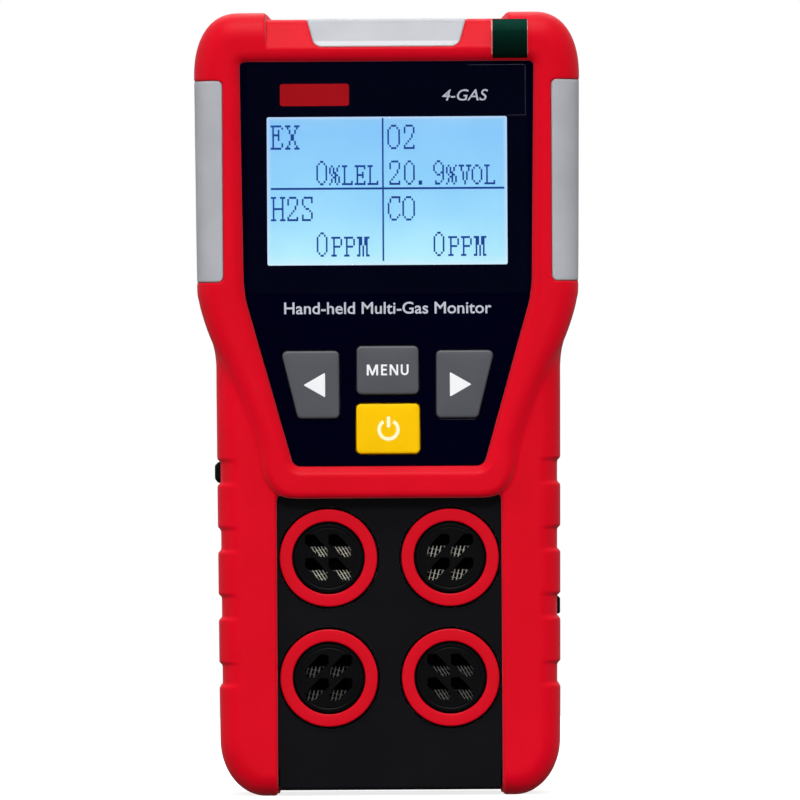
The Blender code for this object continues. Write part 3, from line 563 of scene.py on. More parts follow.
TOP = super_corner(28.6, 139.4, 37.4 - 28.6, 152.0 - 139.4, 2.3, True)
LOW = super_corner(24.2, 11.0, 33.0 - 24.2, 11.0, 2.0, False)
NECK = smooth_path([(33.45, 79.0), (33.55, 83.0), (33.8, 86.0), (34.55, 89.0), (35.75, 92.5), (36.7, 96.2), (37.05, 100.0), (37.25, 120.0), (37.4, 139.0)])
TAPER = smooth_path([(17.0, 57.45), (19.0, 57.6), (20.9, 58.2), (22.5, 59.45), (23.8, 61.4), (24.6, 63.5), (25.45, 66.4), (27.1, 71.2), (29.3, 77.2), (31.4, 82.0)])
HEAD = both_sides(TAPER + smooth_path([(31.4, 82.0), (33.0, 85.6), (34.5, 89.0), (35.75, 92.5), (36.7, 96.2), (37.05, 100.0), (37.25, 120.0), (37.4, 139.0)])[1:] + TOP[1:])
GRIP = both_sides(LOW + [(33.1, 20.0), (33.25, 50.0), (33.4, 79.0), (33.4, 96.0)])
WHOLE = both_sides(LOW + [(33.1, 20.0), (33.25, 50.0)] + NECK + TOP[1:])


def fillet(points, r, n=8):
    out, count = [], len(points)
    for i, p in enumerate(points):
        rr0 = r[i] if hasattr(r, "__len__") else r
        a, q, b = Vector(points[i - 1]), Vector(p), Vector(points[(i + 1) % count])
        u, v = (a - q).normalized(), (b - q).normalized()
        half = math.acos(max(-1, min(1, u.dot(v)))) / 2
        if rr0 <= 0 or half > math.pi / 2 - 0.01:
            out.append(tuple(p))
            continue
        reach = min(rr0 / math.tan(half), (a - q).length / 2, (b - q).length / 2)
        rr = reach * math.tan(half)
        centre = q + (u + v).normalized() * (rr / math.sin(half))
        s, e = q + u * reach - centre, q + v * reach - centre
        total = math.atan2(s.x * e.y - s.y * e.x, s.dot(e))
        for k in range(n + 1):
            t = total * k / n
            c0, s0 = math.cos(t), math.sin(t)
            out.append((centre.x + s.x * c0 - s.y * s0, centre.y + s.x * s0 + s.y * c0))
    return out


LENS = fillet(both_sides([(18.45, 63.9), (27.5, 96.1), (27.93, 99.8), (28.5, 142.4)]), [1.9, 8.0, 4.0, 0.9, 0.9, 4.0, 8.0, 1.9])

S_HEAD, S_GRIP, S_WHOLE, S_LENS = Outline(HEAD), Outline(GRIP), Outline(WHOLE), Outline(LENS)
LEFT_PORT = (-33.0, 11.5, 62.85, 5.5, 2.4)        # x, depth, z, half depth, half height
RIGHT_GRILLE = (33.0, 12.0, 36.7, 5.3, 1.95)


def notches(x, z):
    """How far the finger notches go in: full at the side, none on the face of the rail."""
    prof = np.zeros_like(z)
    for lo, hi in NOTCHES:
        prof = np.maximum(prof, step01((z - lo) / 0.9) * step01((hi - z) / 0.9))
    return 0.62 * prof * step01((np.abs(x) - 28.4) / 4.2)


def mid_surface(d, z):
    """The slanted land between the two top bumpers, positive outside it."""
    plane = (d * -5.5 + (z - 145.1) * 4.3) / math.hypot(5.5, 4.3)
    return smax(plane, z - 150.7, 1.2)


def outside_front(x, d, z, cut=False):
    head = round_edge(S_HEAD(x, z), -d, 1.7 + 2.3 * step01((z - 60) / 10) + 1.4 * step01((z - 86) / 20))
    grip = round_edge(S_GRIP(x, z), 1.8 - d, 4.4) + notches(x, z)
    if cut:
        grip = smax(grip, -smax(np.abs(x) - PANEL, z - 59.6, 0.8), 1.0)
    body = smin(head, grip, 0.7)
    g = mid_surface(d, z)
    back = step01((d - 5.0) / 6.0)
    side = (np.abs(x) - 23.4 + 1.2 * back - (0.1 + 0.8 * back) * np.clip(g, -1, 3)) / (1.02 + 0.33 * back)
    carve = smax(-g, side, 0.25)
    return smax(body, -carve, 0.3)


def hollow(x, d, z):
    """The room inside the front skin: it keeps at least 1.3 mm of wall."""
    return smax(round_edge(S_WHOLE(x, z) + 2.0, 3.0 - d, 3.0), outside_front(x, d, z) + 1.3, 0.2)


def side_window(x, d, z, shrink=0.0):
    return round_box(np.abs(x), d, z, 40.0, 4.0, 119.25, 8.15 - shrink, 9.25 - shrink, 19.55 - shrink, 1.1)


def top_window(x, d, z, shrink=0.0):
    s = smax((np.abs(x) - 14.15 - 0.27 * (z - 145.9)) / 1.036, 145.25 - z, 1.6)
    return smax(s, d - 12.2, 0.6) + shrink


def front_skin(x, d, z):
    outer = outside_front(x, d, z)
    body = outside_front(x, d, z, True)
    lens = S_LENS(x, z)
    flank = step01((z - 64.5) / 3.0)             # the slope down to the lens is steeper and softer at the sides
    w = 1.5 - 0.35 * flank
    pocket = np.minimum(lens, (lens / w + d / 1.5 - 1.0) / np.hypot(1 / w, 1 / 1.5))
    body = smax(body, -pocket, 0.35 + 0.75 * flank)
    cavity = smax(round_edge(S_WHOLE(x, z) + 2.0, 3.0 - d, 3.0), outer + 1.3, 0.2)
    body = smax(body, -cavity, 0.2)
    panel = smax(np.abs(x) - PANEL, z - 57.4, 0.5)
    body = smax(body, -panel, 1.0)
    body = smax(body, -side_window(x, d, z), 0.4)
    body = smax(body, -top_window(x, d, z), 0.35)
    px, pd, pz, hd, hz = LEFT_PORT
    body = smax(body, -round_box(x, d, z, px, pd, pz, 5.0, hd, hz, 0.9), 0.3)
    gx, gd, gz, hd, hz = RIGHT_GRILLE
    body = smax(body, -round_box(x, d, z, gx, gd, gz, 5.0, hd, hz, 0.9), 0.3)
    return smax(body, d - 17.85, 0.35)


def rear_skin(x, d, z):
    body = round_edge(S_WHOLE(x, z), d - 36.0, 5.0) + notches(x, z)
    g = z - 150.7
    side = (np.abs(x) - 22.2 - 0.9 * np.clip(g, -1, 3)) / 1.35
    body = smax(body, -smax(-g, side, 0.25), 0.35)
    cavity = smax(round_edge(S_WHOLE(x, z) + 2.0, d - 34.0, 3.0), body + 1.3, 0.2)
    body = smax(body, -cavity, 0.2)
    opening = smax(smax(np.hypot(np.maximum(np.abs(x) - 17.4, 0), np.maximum(np.abs(z - 66.5) - 67.5, 0)) - 5.0, 31.0 - d, 0.2), -20 - z, 0.2)
    opening = np.minimum(opening, smax(np.abs(x) - PANEL, z - 8.0, 0.3))
    body = smax(body, -opening, 0.4)
    for sx, sz in SCREWS:
        well = np.hypot(np.abs(x) - sx, z - sz) - 3.0
        body = smax(body, -smax(well, 30.0 - d, 0.2), 0.5)
    return smax(body, 18.15 - d, 0.35)


H1 = 0.45
skin = surface("front_skin", front_skin, (-38, -0.6, -0.6), (38, 18.4, 152.6), H1)
put(skin, RED)
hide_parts("front_overmould")
back_skin = surface("rear_skin", rear_skin, (-38, 17.6, -0.6), (38, 36.6, 152.6), 0.55)
put(back_skin, RED)
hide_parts("rear_overmould")

HW = 0.3
for name, sgn in (("light_window_left", -1), ("light_window_right", 1)):
    def window(x, d, z):
        w = smax(outside_front(x, d, z) + 0.05, side_window(x, d, z, 0.03), 0.4)
        return smax(w, -hollow(x, d, z), 0.2)
    low, high = (31.0, -0.6, 99.0), (38.0, 13.6, 139.5)
    if sgn < 0:
        low, high = (-38.0, -0.6, 99.0), (-31.0, 13.6, 139.5)
    w = surface(name + "_pipe", window, low, high, HW)
    put(w, DIFFUSER)
    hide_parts(name)


def bar(x, d, z):
    w = smax(outside_front(x, d, z) - 0.12, top_window(x, d, z, -0.06), 0.55)
    return smax(w, -hollow(x, d, z), 0.2)


w = surface("light_bar_pipe", bar, (-16.5, -0.6, 144.5), (16.5, 12.8, 151.5), HW)
put(w, DIFFUSER_BAR)
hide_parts("light_bar_top")


# ------------------------------------------------------------------ flat plates from outlines
def plate(name, loops, d0, d1, edge=0.1, segments=2):
    """A flat plate between two depths, with holes, and with softened edges. loops are lists of (x, z)."""
    cu = bpy.data.curves.new(name, "CURVE")
    cu.dimensions = "2D"
    cu.fill_mode = "BOTH"
    cu.extrude = max((d1 - d0) / 2 - edge, 0.001) * MM
    cu.bevel_depth = edge * MM
    cu.bevel_resolution = segments
    cu.offset = -edge * MM
    for loop in loops:
        s = cu.splines.new("POLY")
        s.points.add(len(loop) - 1)
        for p, (u, v) in zip(s.points, loop):
            p.co = (u * MM, v * MM, 0, 1)
        s.use_cyclic_u = True
    guide = bpy.data.objects.new(name + "_guide", cu)
    bpy.context.scene.collection.objects.link(guide)
    bpy.context.view_layer.update()
    me = bpy.data.meshes.new_from_object(guide.evaluated_get(bpy.context.evaluated_depsgraph_get()))
    bpy.data.objects.remove(guide, do_unlink=True)
    me.transform(Matrix.Translation((0, y_of((d0 + d1) / 2), 0)) @ Matrix.Rotation(math.pi / 2, 4, "X"))
    bm = bmesh.new()
    bm.from_mesh(me)
    bmesh.ops.remove_doubles(bm, verts=bm.verts, dist=1e-6)
    bmesh.ops.recalc_face_normals(bm, faces=bm.faces)
    bm.to_mesh(me)
    bm.free()
    me.name = name
    return bpy.data.objects.new(name, me)


def circle(cx, cz, r, n=96):
    return [(cx + r * math.cos(2 * math.pi * i / n), cz + r * math.sin(2 * math.pi * i / n)) for i in range(n)]


def grow(loop, t):
    p = np.array(loop)
    a, b = np.roll(p, 1, 0), np.roll(p, -1, 0)
    e0, e1 = p - a, b - p
    e0 /= np.maximum(np.linalg.norm(e0, axis=1), 1e-9)[:, None]
    e1 /= np.maximum(np.linalg.norm(e1, axis=1), 1e-9)[:, None]
    n0 = np.stack([e0[:, 1], -e0[:, 0]], 1)
    n1 = np.stack([e1[:, 1], -e1[:, 0]], 1)
    m = n0 + n1
    m /= np.maximum((m * m).sum(1) / 2, 0.4)[:, None]
    return [tuple(q) for q in p + m * t]


KEYS = {
    "key_left": fillet([(-17.45, 73.2), (-9.4, 73.2), (-9.4, 86.3), (-20.7, 86.3)], [1.0, 0.95, 0.9, 1.0]),
    "key_right": fillet([(9.4, 73.2), (17.45, 73.2), (20.7, 86.3), (9.4, 86.3)], [0.95, 1.0, 1.0, 0.9]),
    "key_menu": fillet([(-6.0, 77.8), (6.0, 77.8), (6.0, 87.2), (-6.0, 87.2)], 0.95),
    "key_power": fillet([(-6.15, 66.3), (6.15, 66.3), (6.15, 76.0), (-6.15, 76.0)], 0.95),
}
WINDOW = fillet([(-23.28, 102.92), (23.28, 102.92), (23.28, 131.67), (-23.28, 131.67)], 0.35, 4)
KEYS = {name: [(x - 0.1, z) for x, z in loop] for name, loop in KEYS.items()}
lens_loops = [grow(LENS, -0.12), list(reversed(WINDOW))]
for loop in KEYS.values():
    lens_loops.append(list(reversed(grow(loop, 0.22))))
lens = plate("lens_cover", lens_loops, 1.4, 2.9, 0.12)
put(lens, LENS_BLACK, smooth=30)
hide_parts("lens_panel")
pane = plate("display_pane", [grow(WINDOW, -0.02)], 1.43, 2.3, 0.05)
put(pane, PANE, smooth=30)

# display cell behind the pane, with the dots that show
CELL = fillet([(-25.2, 101.2), (25.2, 101.2), (25.2, 133.4), (-25.2, 133.4)], 0.5, 4)
holder = plate("display_holder", [fillet([(-28.4, 98.6), (28.4, 98.6), (28.4, 137.0), (-28.4, 137.0)], 0.6, 4), list(reversed(grow(CELL, 0.1)))], 3.15, 4.95, 0.08)
put(holder, BLACK_FINE, smooth=30)
cell = plate("display_cell", [CELL], 3.2, 4.9, 0.08)
put(cell, LCD, smooth=30)
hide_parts("lcd_glass")

BIG = {   # 8 x 16 dots, one byte for each column, upper half then lower half
    "%": "F008F000E01800000021 1C031E211E00", "0": "00E010080810E000000F10202010 0F00",
    "2": "00700808088870000030282422213000", "9": "00E010080810E000000031222211 0F00",
    ".": "00000000000000000030300000000000", "C": "C0300808080838000718202020100800",
    "E": "08F88888E8081000203F202023201800", "H": "08F8080000 08F808203F2101 01213F20",
    "O": "E0100808 0810E0000F10202020100F00", "S": "00708808080838000038202121221C00",
    "X": "081868808068180820302C03032C3020",
}
SMALL = {
    "L": ["XXX...", ".X....", ".X....", ".X....", ".X....", ".X....", ".X....", ".X...X", "XXXXXX"],
    "E": ["XXXXXX", ".X...X", ".X....", ".X..X.", ".XXXX.", ".X..X.", ".X....", ".X...X", "XXXXXX"],
    "P": ["XXXXX.", ".X...X", ".X...X", ".X...X", ".XXXX.", ".X....", ".X....", ".X....", "XXX..."],
    "M": ["XXX.XXX", ".XX.XX.", ".XX.XX.", ".XX.XX.", ".X.X.X.", ".X.X.X.", ".X.X.X.", ".X.X.X.", "XX.X.XX"],
    "V": ["XXX.XXX", ".X...X.", ".X...X.", "..X.X..", "..X.X..", "..X.X..", "..X.X..", "...X...", "...X..."],
    "O": ["..XX..", ".X..X.", "X....X", "X....X", "X....X", "X....X", "X....X", ".X..X.", "..XX.."],
    "%": [".X...X", "X.X.X.", "X.X.X.", "X.XX..", ".X.XX.", "..XX.X", ".X.X.X", ".X.X.X", "X...X."],
}
lit = set()


def big(text, col, row):
    for ch in text:
        if ch != " ":
            data = bytes.fromhex(BIG[ch].replace(" ", ""))
            for c in range(8):
                for r in range(16):
                    if (data[c] if r < 8 else data[8 + c]) >> (r % 8) & 1:
                        lit.add((col + c, row + r))
        col += 8


def small(text, col, row):
    for ch in text:
        for r, line in enumerate(SMALL[ch]):
            for c, dot in enumerate(line):
                if dot == "X":
                    lit.add((col + c, row + r))
        col += 7


big("EX", 0, 0); big("O2", 64, 0)
big("0", 24, 16); small("%LEL", 32, 21)
big("20.9", 64, 16); small("%VOL", 96, 21)
big("H2S", 0, 32); big("CO", 64, 32)
big("0", 24, 48); small("PPM", 33, 53)
big("0", 88, 48); small("PPM", 97, 53)
for r in range(64):
    lit.add((61, r))
for c in range(128):
    lit.add((c, 31))
PX, PZ = 45.34 / 128, 27.74 / 64
dots = bmesh.new()
for c, r in sorted(lit):
    x0, z1 = -22.58 + c * PX, 131.43 - r * PZ
    # a dot touches the next lit one in its row, as the display's strokes do
    x1, z0 = x0 + PX * (1.0 if (c + 1, r) in lit else 0.93), z1 - PZ * (1.0 if (c, r + 1) in lit else 0.93)
    vs = [dots.verts.new((x * MM, y_of(d), z * MM)) for d in (3.02, 3.10) for x, z in ((x0, z0), (x1, z0), (x1, z1), (x0, z1))]
    for face in ((0, 1, 2, 3), (7, 6, 5, 4), (0, 4, 5, 1), (1, 5, 6, 2), (2, 6, 7, 3), (3, 7, 4, 0)):
        dots.faces.new([vs[i] for i in face])
bmesh.ops.recalc_face_normals(dots, faces=dots.faces)
me = bpy.data.meshes.new("display_dots")
dots.to_mesh(me); dots.free()
put(bpy.data.objects.new("display_dots", me), LCD_DOTS)


# ------------------------------------------------------------------ printing and icons
def text(name, body, cx, cz, width, d, material, ride=ROOT, thick=0.02, shear=0.0, bold=0.0, height=None):
    cu = bpy.data.curves.new(name, "FONT")
    cu.body = body
    cu.size = 0.003
    cu.align_x = "CENTER"
    cu.align_y = "CENTER"
    cu.extrude = thick / 2 * MM
    cu.shear = shear
    cu.offset = bold * MM
    cu.resolution_u = 4
    guide = bpy.data.objects.new(name + "_guide", cu)
    bpy.context.scene.collection.objects.link(guide)
    bpy.context.view_layer.update()
    me = bpy.data.meshes.new_from_object(guide.evaluated_get(bpy.context.evaluated_depsgraph_get()))
    bpy.data.objects.remove(guide, do_unlink=True)
    co = np.array([v.co for v in me.vertices])
    lo, hi = co.min(0), co.max(0)
    sx = width * MM / (hi[0] - lo[0])
    sz = sx if height is None else height * MM / (hi[1] - lo[1])
    me.transform(Matrix.Translation((-(lo[0] + hi[0]) / 2, -(lo[1] + hi[1]) / 2, 0)))
    me.transform(Matrix.Translation((cx * MM, y_of(d), cz * MM)) @ Matrix.Rotation(math.pi / 2, 4, "X") @ Matrix.Diagonal((sx, sz, 1, 1)))
    bm = bmesh.new(); bm.from_mesh(me)
    bmesh.ops.remove_doubles(bm, verts=bm.verts, dist=1e-7)
    bmesh.ops.recalc_face_normals(bm, faces=bm.faces)
    bm.to_mesh(me); bm.free()
    return put(bpy.data.objects.new(name, me), material, ride)


badge = plate("plain_badge", [fillet([(-20.7, 133.8), (-7.3, 133.8), (-7.3, 138.1), (-20.7, 138.1)], 0.5, 4)], 1.36, 1.405, 0.01, 1)
put(badge, BADGE_RED)
text("print_top", "4-GAS", 15.2, 135.8, 8.9, 1.39, PRINT_GREY, shear=0.25, bold=0.02, height=2.2)
text("print_line", "Hand-held Multi-Gas Monitor", 0.0, 94.6, 40.2, 1.39, PRINT_GREY, bold=0.035, height=2.35)

# ------------------------------------------------------------------ keys
KEY_TOP = 0.6


def key_shape(outline, crown):
    s2 = Outline(outline, pad=2.5, step=0.15)
    cx = sum(p[0] for p in outline) / len(outline)
    cz = sum(p[1] for p in outline) / len(outline)

    def f(x, d, z):
        inset = np.clip(-s2(x, z) / 3.0, 0, 1)
        top = KEY_TOP + 0.16 - crown * (1 - (1 - inset) ** 2) + 0.0 * (x - cx + z - cz)
        cap = round_edge(s2(x, z) - 0.05 * np.clip((d - 1.2) / 3, 0, 1), top - d, 0.42)
        cap = smax(cap, d - 5.8, 0.1)
        flange = smax(smax(s2(x, z) - 0.7, 5.45 - d, 0.15), d - 6.15, 0.15)
        return smin(cap, flange, 0.2)
    return f


for name, outline in KEYS.items():
    p = np.array(outline)
    low = (p[:, 0].min() - 1.2, 0.2, p[:, 1].min() - 1.2)
    high = (p[:, 0].max() + 1.2, 6.6, p[:, 1].max() + 1.2)
    k = surface(name + "_cap", key_shape(outline, 0.16), low, high, 0.2)
    put(k, YELLOW_KEY if name == "key_power" else GREY_KEY, name)
    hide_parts(name)

tri = [(-16.45, 79.7), (-12.25, 77.3), (-12.25, 82.1)]
put(plate("arrow_left", [fillet(tri, 0.12, 3)], 0.57, 0.63, 0.01, 1), ICON_WHITE, "key_left")
put(plate("arrow_right", [fillet([(11.95, 77.3), (16.15, 79.7), (11.95, 82.1)], 0.12, 3)], 0.57, 0.63, 0.01, 1), ICON_WHITE, "key_right")
WH, WS = 2.1, 0.40            # letter height and stroke
WORD = []
WORD.append([(0, 0), (WS, 0), (WS, 1.35), (1.0, 0.0), (1.3, 0.0), (1.92, 1.35), (1.92, 0), (1.92 + WS, 0), (1.92 + WS, WH), (1.80, WH), (1.16, 0.62), (0.52, WH), (0, WH)])
WORD.append([(2.92, 0), (4.15, 0), (4.15, 0.34), (3.32, 0.34), (3.32, 0.92), (4.05, 0.92), (4.05, 1.26), (3.32, 1.26), (3.32, WH - 0.34), (4.15, WH - 0.34), (4.15, WH), (2.92, WH)])
WORD.append([(4.68, 0), (5.05, 0), (5.05, 1.45), (6.0, 0), (6.42, 0), (6.42, WH), (6.05, WH), (6.05, 0.65), (5.10, WH), (4.68, WH)])
bowl_out = [(7.75 + 0.80 * math.cos(a), 0.78 - 0.78 * math.sin(a)) for a in [math.pi * k / 14 for k in range(15)]]
bowl_in = [(7.75 + 0.41 * math.cos(a), 0.78 - 0.43 * math.sin(a)) for a in [math.pi * k / 14 for k in range(15)]]
WORD.append([(8.55, WH)] + [(8.16, WH)] + bowl_in + [(7.34, WH), (6.95, WH)] + list(reversed(bowl_out)))
word_loops = []
for loop in WORD:
    pts = [(x * 8.1 / 8.55 - 4.05 - 0.1, 81.52 + z) for x, z in loop]
    turn = sum(a[0] * b[1] - b[0] * a[1] for a, b in zip(pts, pts[1:] + pts[:1]))
    word_loops.append(pts if turn > 0 else list(reversed(pts)))
put(plate("menu_word", word_loops, 0.57, 0.63, 0.008, 1), ICON_WHITE, "key_menu")

R_ICON, W_ICON = 2.17, 0.68
arc = []
a0 = math.radians(32)
for i in range(49):
    a = math.pi / 2 + a0 + (2 * math.pi - 2 * a0) * i / 48
    arc.append(((R_ICON - 0.0) * math.cos(a), 71.0 + R_ICON * math.sin(a)))
inner = []
for i in range(49):
    a = math.pi / 2 + a0 + (2 * math.pi - 2 * a0) * (48 - i) / 48
    inner.append(((R_ICON - W_ICON) * math.cos(a), 71.0 + (R_ICON - W_ICON) * math.sin(a)))
put(plate("power_ring", [fillet(arc + inner, 0.12, 2)], 0.57, 0.63, 0.01, 1), ICON_CREAM, "key_power")
put(plate("power_bar", [fillet([(-0.34, 71.4), (0.34, 71.4), (0.34, 73.55), (-0.34, 73.55)], 0.2, 4)], 0.57, 0.63, 0.01, 1), ICON_CREAM, "key_power")


# ------------------------------------------------------------------ sensor panel
def lathe(name, profile, cx, cz, n=128):
    """A closed (radius, depth) profile turned round the depth axis."""
    bm = bmesh.new()
    rings = []
    for r, d in profile:
        if r < 1e-6:
            rings.append([bm.verts.new((cx * MM, y_of(d), cz * MM))])
        else:
            rings.append([bm.verts.new(((cx + r * math.cos(2 * math.pi * i / n)) * MM, y_of(d), (cz + r * math.sin(2 * math.pi * i / n)) * MM)) for i in range(n)])
    pairs = list(zip(rings, rings[1:]))
    if profile[0][0] > 1e-6:
        pairs.append((rings[-1], rings[0]))
    for a, b in pairs:
        for i in range(n):
            j = (i + 1) % n
            if len(a) == 1 and len(b) == 1:
                break
            if len(a) == 1:
                bm.faces.new((a[0], b[i], b[j]))
            elif len(b) == 1:
                bm.faces.new((a[i], a[j], b[0]))
            else:
                bm.faces.new((a[i], a[j], b[j], b[i]))
    bmesh.ops.recalc_face_normals(bm, faces=bm.faces)
    me = bpy.data.meshes.new(name)
    bm.to_mesh(me); bm.free()
    return bpy.data.objects.new(name, me)


def boolean(obj, cutters, how="DIFFERENCE"):
    """Applies the cutters to obj's mesh and removes them."""
    sc = bpy.context.scene.collection
    if obj.name not in sc.all_objects:
        sc.objects.link(obj)
    for c in cutters:
        sc.objects.link(c)
        m = obj.modifiers.new("b", "BOOLEAN")
        m.operation, m.solver, m.object = how, "EXACT", c
    bpy.context.view_layer.update()
    me = bpy.data.meshes.new_from_object(obj.evaluated_get(bpy.context.evaluated_depsgraph_get()))
    obj.modifiers.clear()
    old = obj.data
    obj.data = me
    me.name = obj.name
    if old.users == 0:
        bpy.data.meshes.remove(old)
    for c in cutters:
        bpy.data.objects.remove(c, do_unlink=True)
    return obj


def arc_profile(cr, cd, r, a0, a1, n=4):
    return [(cr + r * math.cos(math.radians(a0 + (a1 - a0) * i / n)), cd + r * math.sin(math.radians(a0 + (a1 - a0) * i / n))) for i in range(n + 1)]


def tapered(name, pts, sections):
    """A prism through several (growth, depth) sections, wider at its front."""
    bm = bmesh.new()
    rows = [[bm.verts.new((x * MM, y_of(d), z * MM)) for x, z in grow(pts, g)] for g, d in sections]
    bm.faces.new(rows[0]); bm.faces.new(list(reversed(rows[-1])))
    for va, vb in zip(rows, rows[1:]):
        for i in range(len(va)):
            j = (i + 1) % len(va)
            bm.faces.new((va[i], vb[i], vb[j], va[j]))
    bmesh.ops.recalc_face_normals(bm, faces=bm.faces)
    me = bpy.data.meshes.new(name)
    bm.to_mesh(me); bm.free()
    return bpy.data.objects.new(name, me)


shell_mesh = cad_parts["front_housing"].data.copy()
bm = bmesh.new(); bm.from_mesh(shell_mesh)
bmesh.ops.remove_doubles(bm, verts=bm.verts, dist=1e-6)
bm.to_mesh(shell_mesh); bm.free()
shell = bpy.data.objects.new("front_shell", shell_mesh)
holes = [lathe(f"hole_{i}", [(0, 1.0), (9.88, 1.0), (9.88, 6.0), (0, 6.0)], cx, cz) for i, (cx, cz) in enumerate(SENSORS)]
boolean(shell, holes)
put(shell, BLACK)
shell.data.polygons.foreach_set("use_smooth", [False] * len(shell.data.polygons))
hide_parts("front_housing")
# the panel runs full width between the two lower bumpers, down to a softened lower edge
foot_profile = [(3.29, 6.2), (3.29, 1.75), (3.36, 1.45), (3.55, 1.2), (3.85, 1.08), (17.6, 1.08), (17.6, 6.2)]
bm = bmesh.new()
ends = [[bm.verts.new((sx * 21.38 * MM, y_of(d), z * MM)) for d, z in foot_profile] for sx in (-1, 1)]
bm.faces.new(ends[0]); bm.faces.new(list(reversed(ends[1])))
for i in range(len(foot_profile)):
    j = (i + 1) % len(foot_profile)
    bm.faces.new((ends[0][i], ends[0][j], ends[1][j], ends[1][i]))
bmesh.ops.recalc_face_normals(bm, faces=bm.faces)
me = bpy.data.meshes.new("panel_foot"); bm.to_mesh(me); bm.free()
put(bpy.data.objects.new("panel_foot", me), BLACK)

HEX = [(-2.95, 0), (-2.0, -1.12), (1.9, -1.12), (2.75, -0.2), (2.75, 0.2), (1.9, 1.12), (-2.0, 1.12)]
for i, (cx, cz) in enumerate(SENSORS):
    label = SENSOR_NAMES[i]
    disc_profile = (
        [(0, 3.22), (5.70, 3.22), (5.80, 3.29), (5.95, 3.29), (6.05, 3.22), (6.45, 3.22)]
        + arc_profile(6.45, 3.47, 0.25, -90, 0, 3) + [(6.72, 4.02), (9.80, 4.02), (9.80, 4.5), (0, 4.5)]
    )
    disc = lathe("sensor_grille_" + label, disc_profile, cx, cz)
    lean = -1 if (cx > 0) == (cz > 30) else 1
    cutters = []
    for j, (u, v) in enumerate([(-1, -1), (1, -1), (1, 1), (-1, 1)]):
        px, pz = cx + 2.28 * u, cz + 2.28 * v
        a = math.radians(-45 * lean)
        pts = [(px + p * math.cos(a) - q * math.sin(a), pz + p * math.sin(a) + q * math.cos(a)) for p, q in HEX]
        cutters.append(tapered(f"slot_{j}", pts, [(0.30, 2.9), (-0.02, 3.62), (-0.03, 5.4)]))
    boolean(disc, cutters)
    put(disc, BLACK_FINE, smooth=25)
    ring = lathe("ring_" + label, arc_profile(9.19, 2.95, 0.25, 0, -90, 4) + arc_profile(7.30, 2.95, 0.25, -90, -180, 4) + [(7.05, 3.75), (9.44, 3.75)], cx, cz)
    put(ring, RED_RING, smooth=40)
    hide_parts("sensor_ring_" + label)
    # woven wire filter: two layers of fine wires
    bm = bmesh.new()
    rr = 6.6
    for layer, ang, pitch, wire in ((0, 14 if lean > 0 else -12, 0.92, 0.036), (1, -58 if lean > 0 else 76, 0.56 if lean > 0 else 0.74, 0.108)):
        count = int(rr / pitch)
        ca, sa = math.cos(math.radians(ang)), math.sin(math.radians(ang))
        for k in range(-count, count + 1):
            off = k * pitch
            half = math.sqrt(max(rr * rr - off * off, 0.01))
            n = max(int(half * 2 / pitch), 2)
            prev = None
            for s in range(n + 1):
                t = -half + 2 * half * s / n
                lift = 0.09 * (1 if (s + k + layer) % 2 else -1)
                c = Vector(((cx + t * ca - off * sa) * MM, y_of(4.86 + lift + (0.12 if layer == 0 else 0.0)), (cz + t * sa + off * ca) * MM))
                side = Vector((-sa, 0, ca)) * wire * MM
                up = Vector((0, 1, 0)) * wire * MM
                cur = [bm.verts.new(c + side * math.cos(q) + up * math.sin(q)) for q in (0.0, 1.571, 3.1416, 4.712)]
                if prev:
                    for q in range(4):
                        bm.faces.new((prev[q], prev[(q + 1) % 4], cur[(q + 1) % 4], cur[q]))
                else:
                    bm.faces.new(cur)
                prev = cur
            bm.faces.new(list(reversed(prev)))
    bmesh.ops.recalc_face_normals(bm, faces=bm.faces)
    me = bpy.data.meshes.new("filter_mesh_" + label)
    bm.to_mesh(me); bm.free()
    mesh = bpy.data.objects.new("filter_mesh_" + label, me)
    put(mesh, MESH_STEEL if cz > 30 else MESH_SHADED, smooth=60)      # the lower two filters take a darker copy of the wire: painted shade for their dimmer glints
    felt = lathe("filter_felt_" + label, [(0, 5.14), (7.9, 5.14), (8.1, 5.19), (8.1, 5.5), (0, 5.5)], cx, cz)
    put(felt, FELT_AND_PAINTED_SHADOW, smooth=30)
    # black strips behind the upper half of the slots: a painted shadow where the slots' upper edges shade the filter
    bm = bmesh.new()
    for v in (-1, 1):
        pz = cz + 2.28 * v
        box = [bm.verts.new((x * MM, y_of(d), z * MM)) for d in (4.52, 4.6) for x, z in ((cx - 5.0, pz - 0.06), (cx + 5.0, pz - 0.06), (cx + 5.0, pz + 2.12), (cx - 5.0, pz + 2.12))]
        for q in ((0, 1, 2, 3), (7, 6, 5, 4), (0, 4, 5, 1), (1, 5, 6, 2), (2, 6, 7, 3), (3, 7, 4, 0)):
            bm.faces.new([box[n] for n in q])
    bmesh.ops.recalc_face_normals(bm, faces=bm.faces)
    me = bpy.data.meshes.new("slot_painted_shadow_" + label)
    bm.to_mesh(me); bm.free()
    put(bpy.data.objects.new("slot_painted_shadow_" + label, me), FELT_AND_PAINTED_SHADOW)
    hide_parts("dust_filter_" + label)

# ------------------------------------------------------------------ film and its pull tab
film = plate("film_sheet", [fillet([(-27.0, 97.5), (27.3, 97.5), (27.3, 141.8), (-27.0, 141.8)], 0.8, 4)], 0.98, 1.05, 0.02, 1)
put(film, FILM, smooth=30)
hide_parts("display_film")


def rule(bm, x0, x1, z0, z1, d0, d1):
    vs = [bm.verts.new((x * MM, y_of(d), z * MM)) for d in (d0, d1) for x, z in ((x0, z0), (x1, z0), (x1, z1), (x0, z1))]
    for face in ((0, 1, 2, 3), (7, 6, 5, 4), (0, 4, 5, 1), (1, 5, 6, 2), (2, 6, 7, 3), (3, 7, 4, 0)):
        bm.faces.new([vs[i] for i in face])


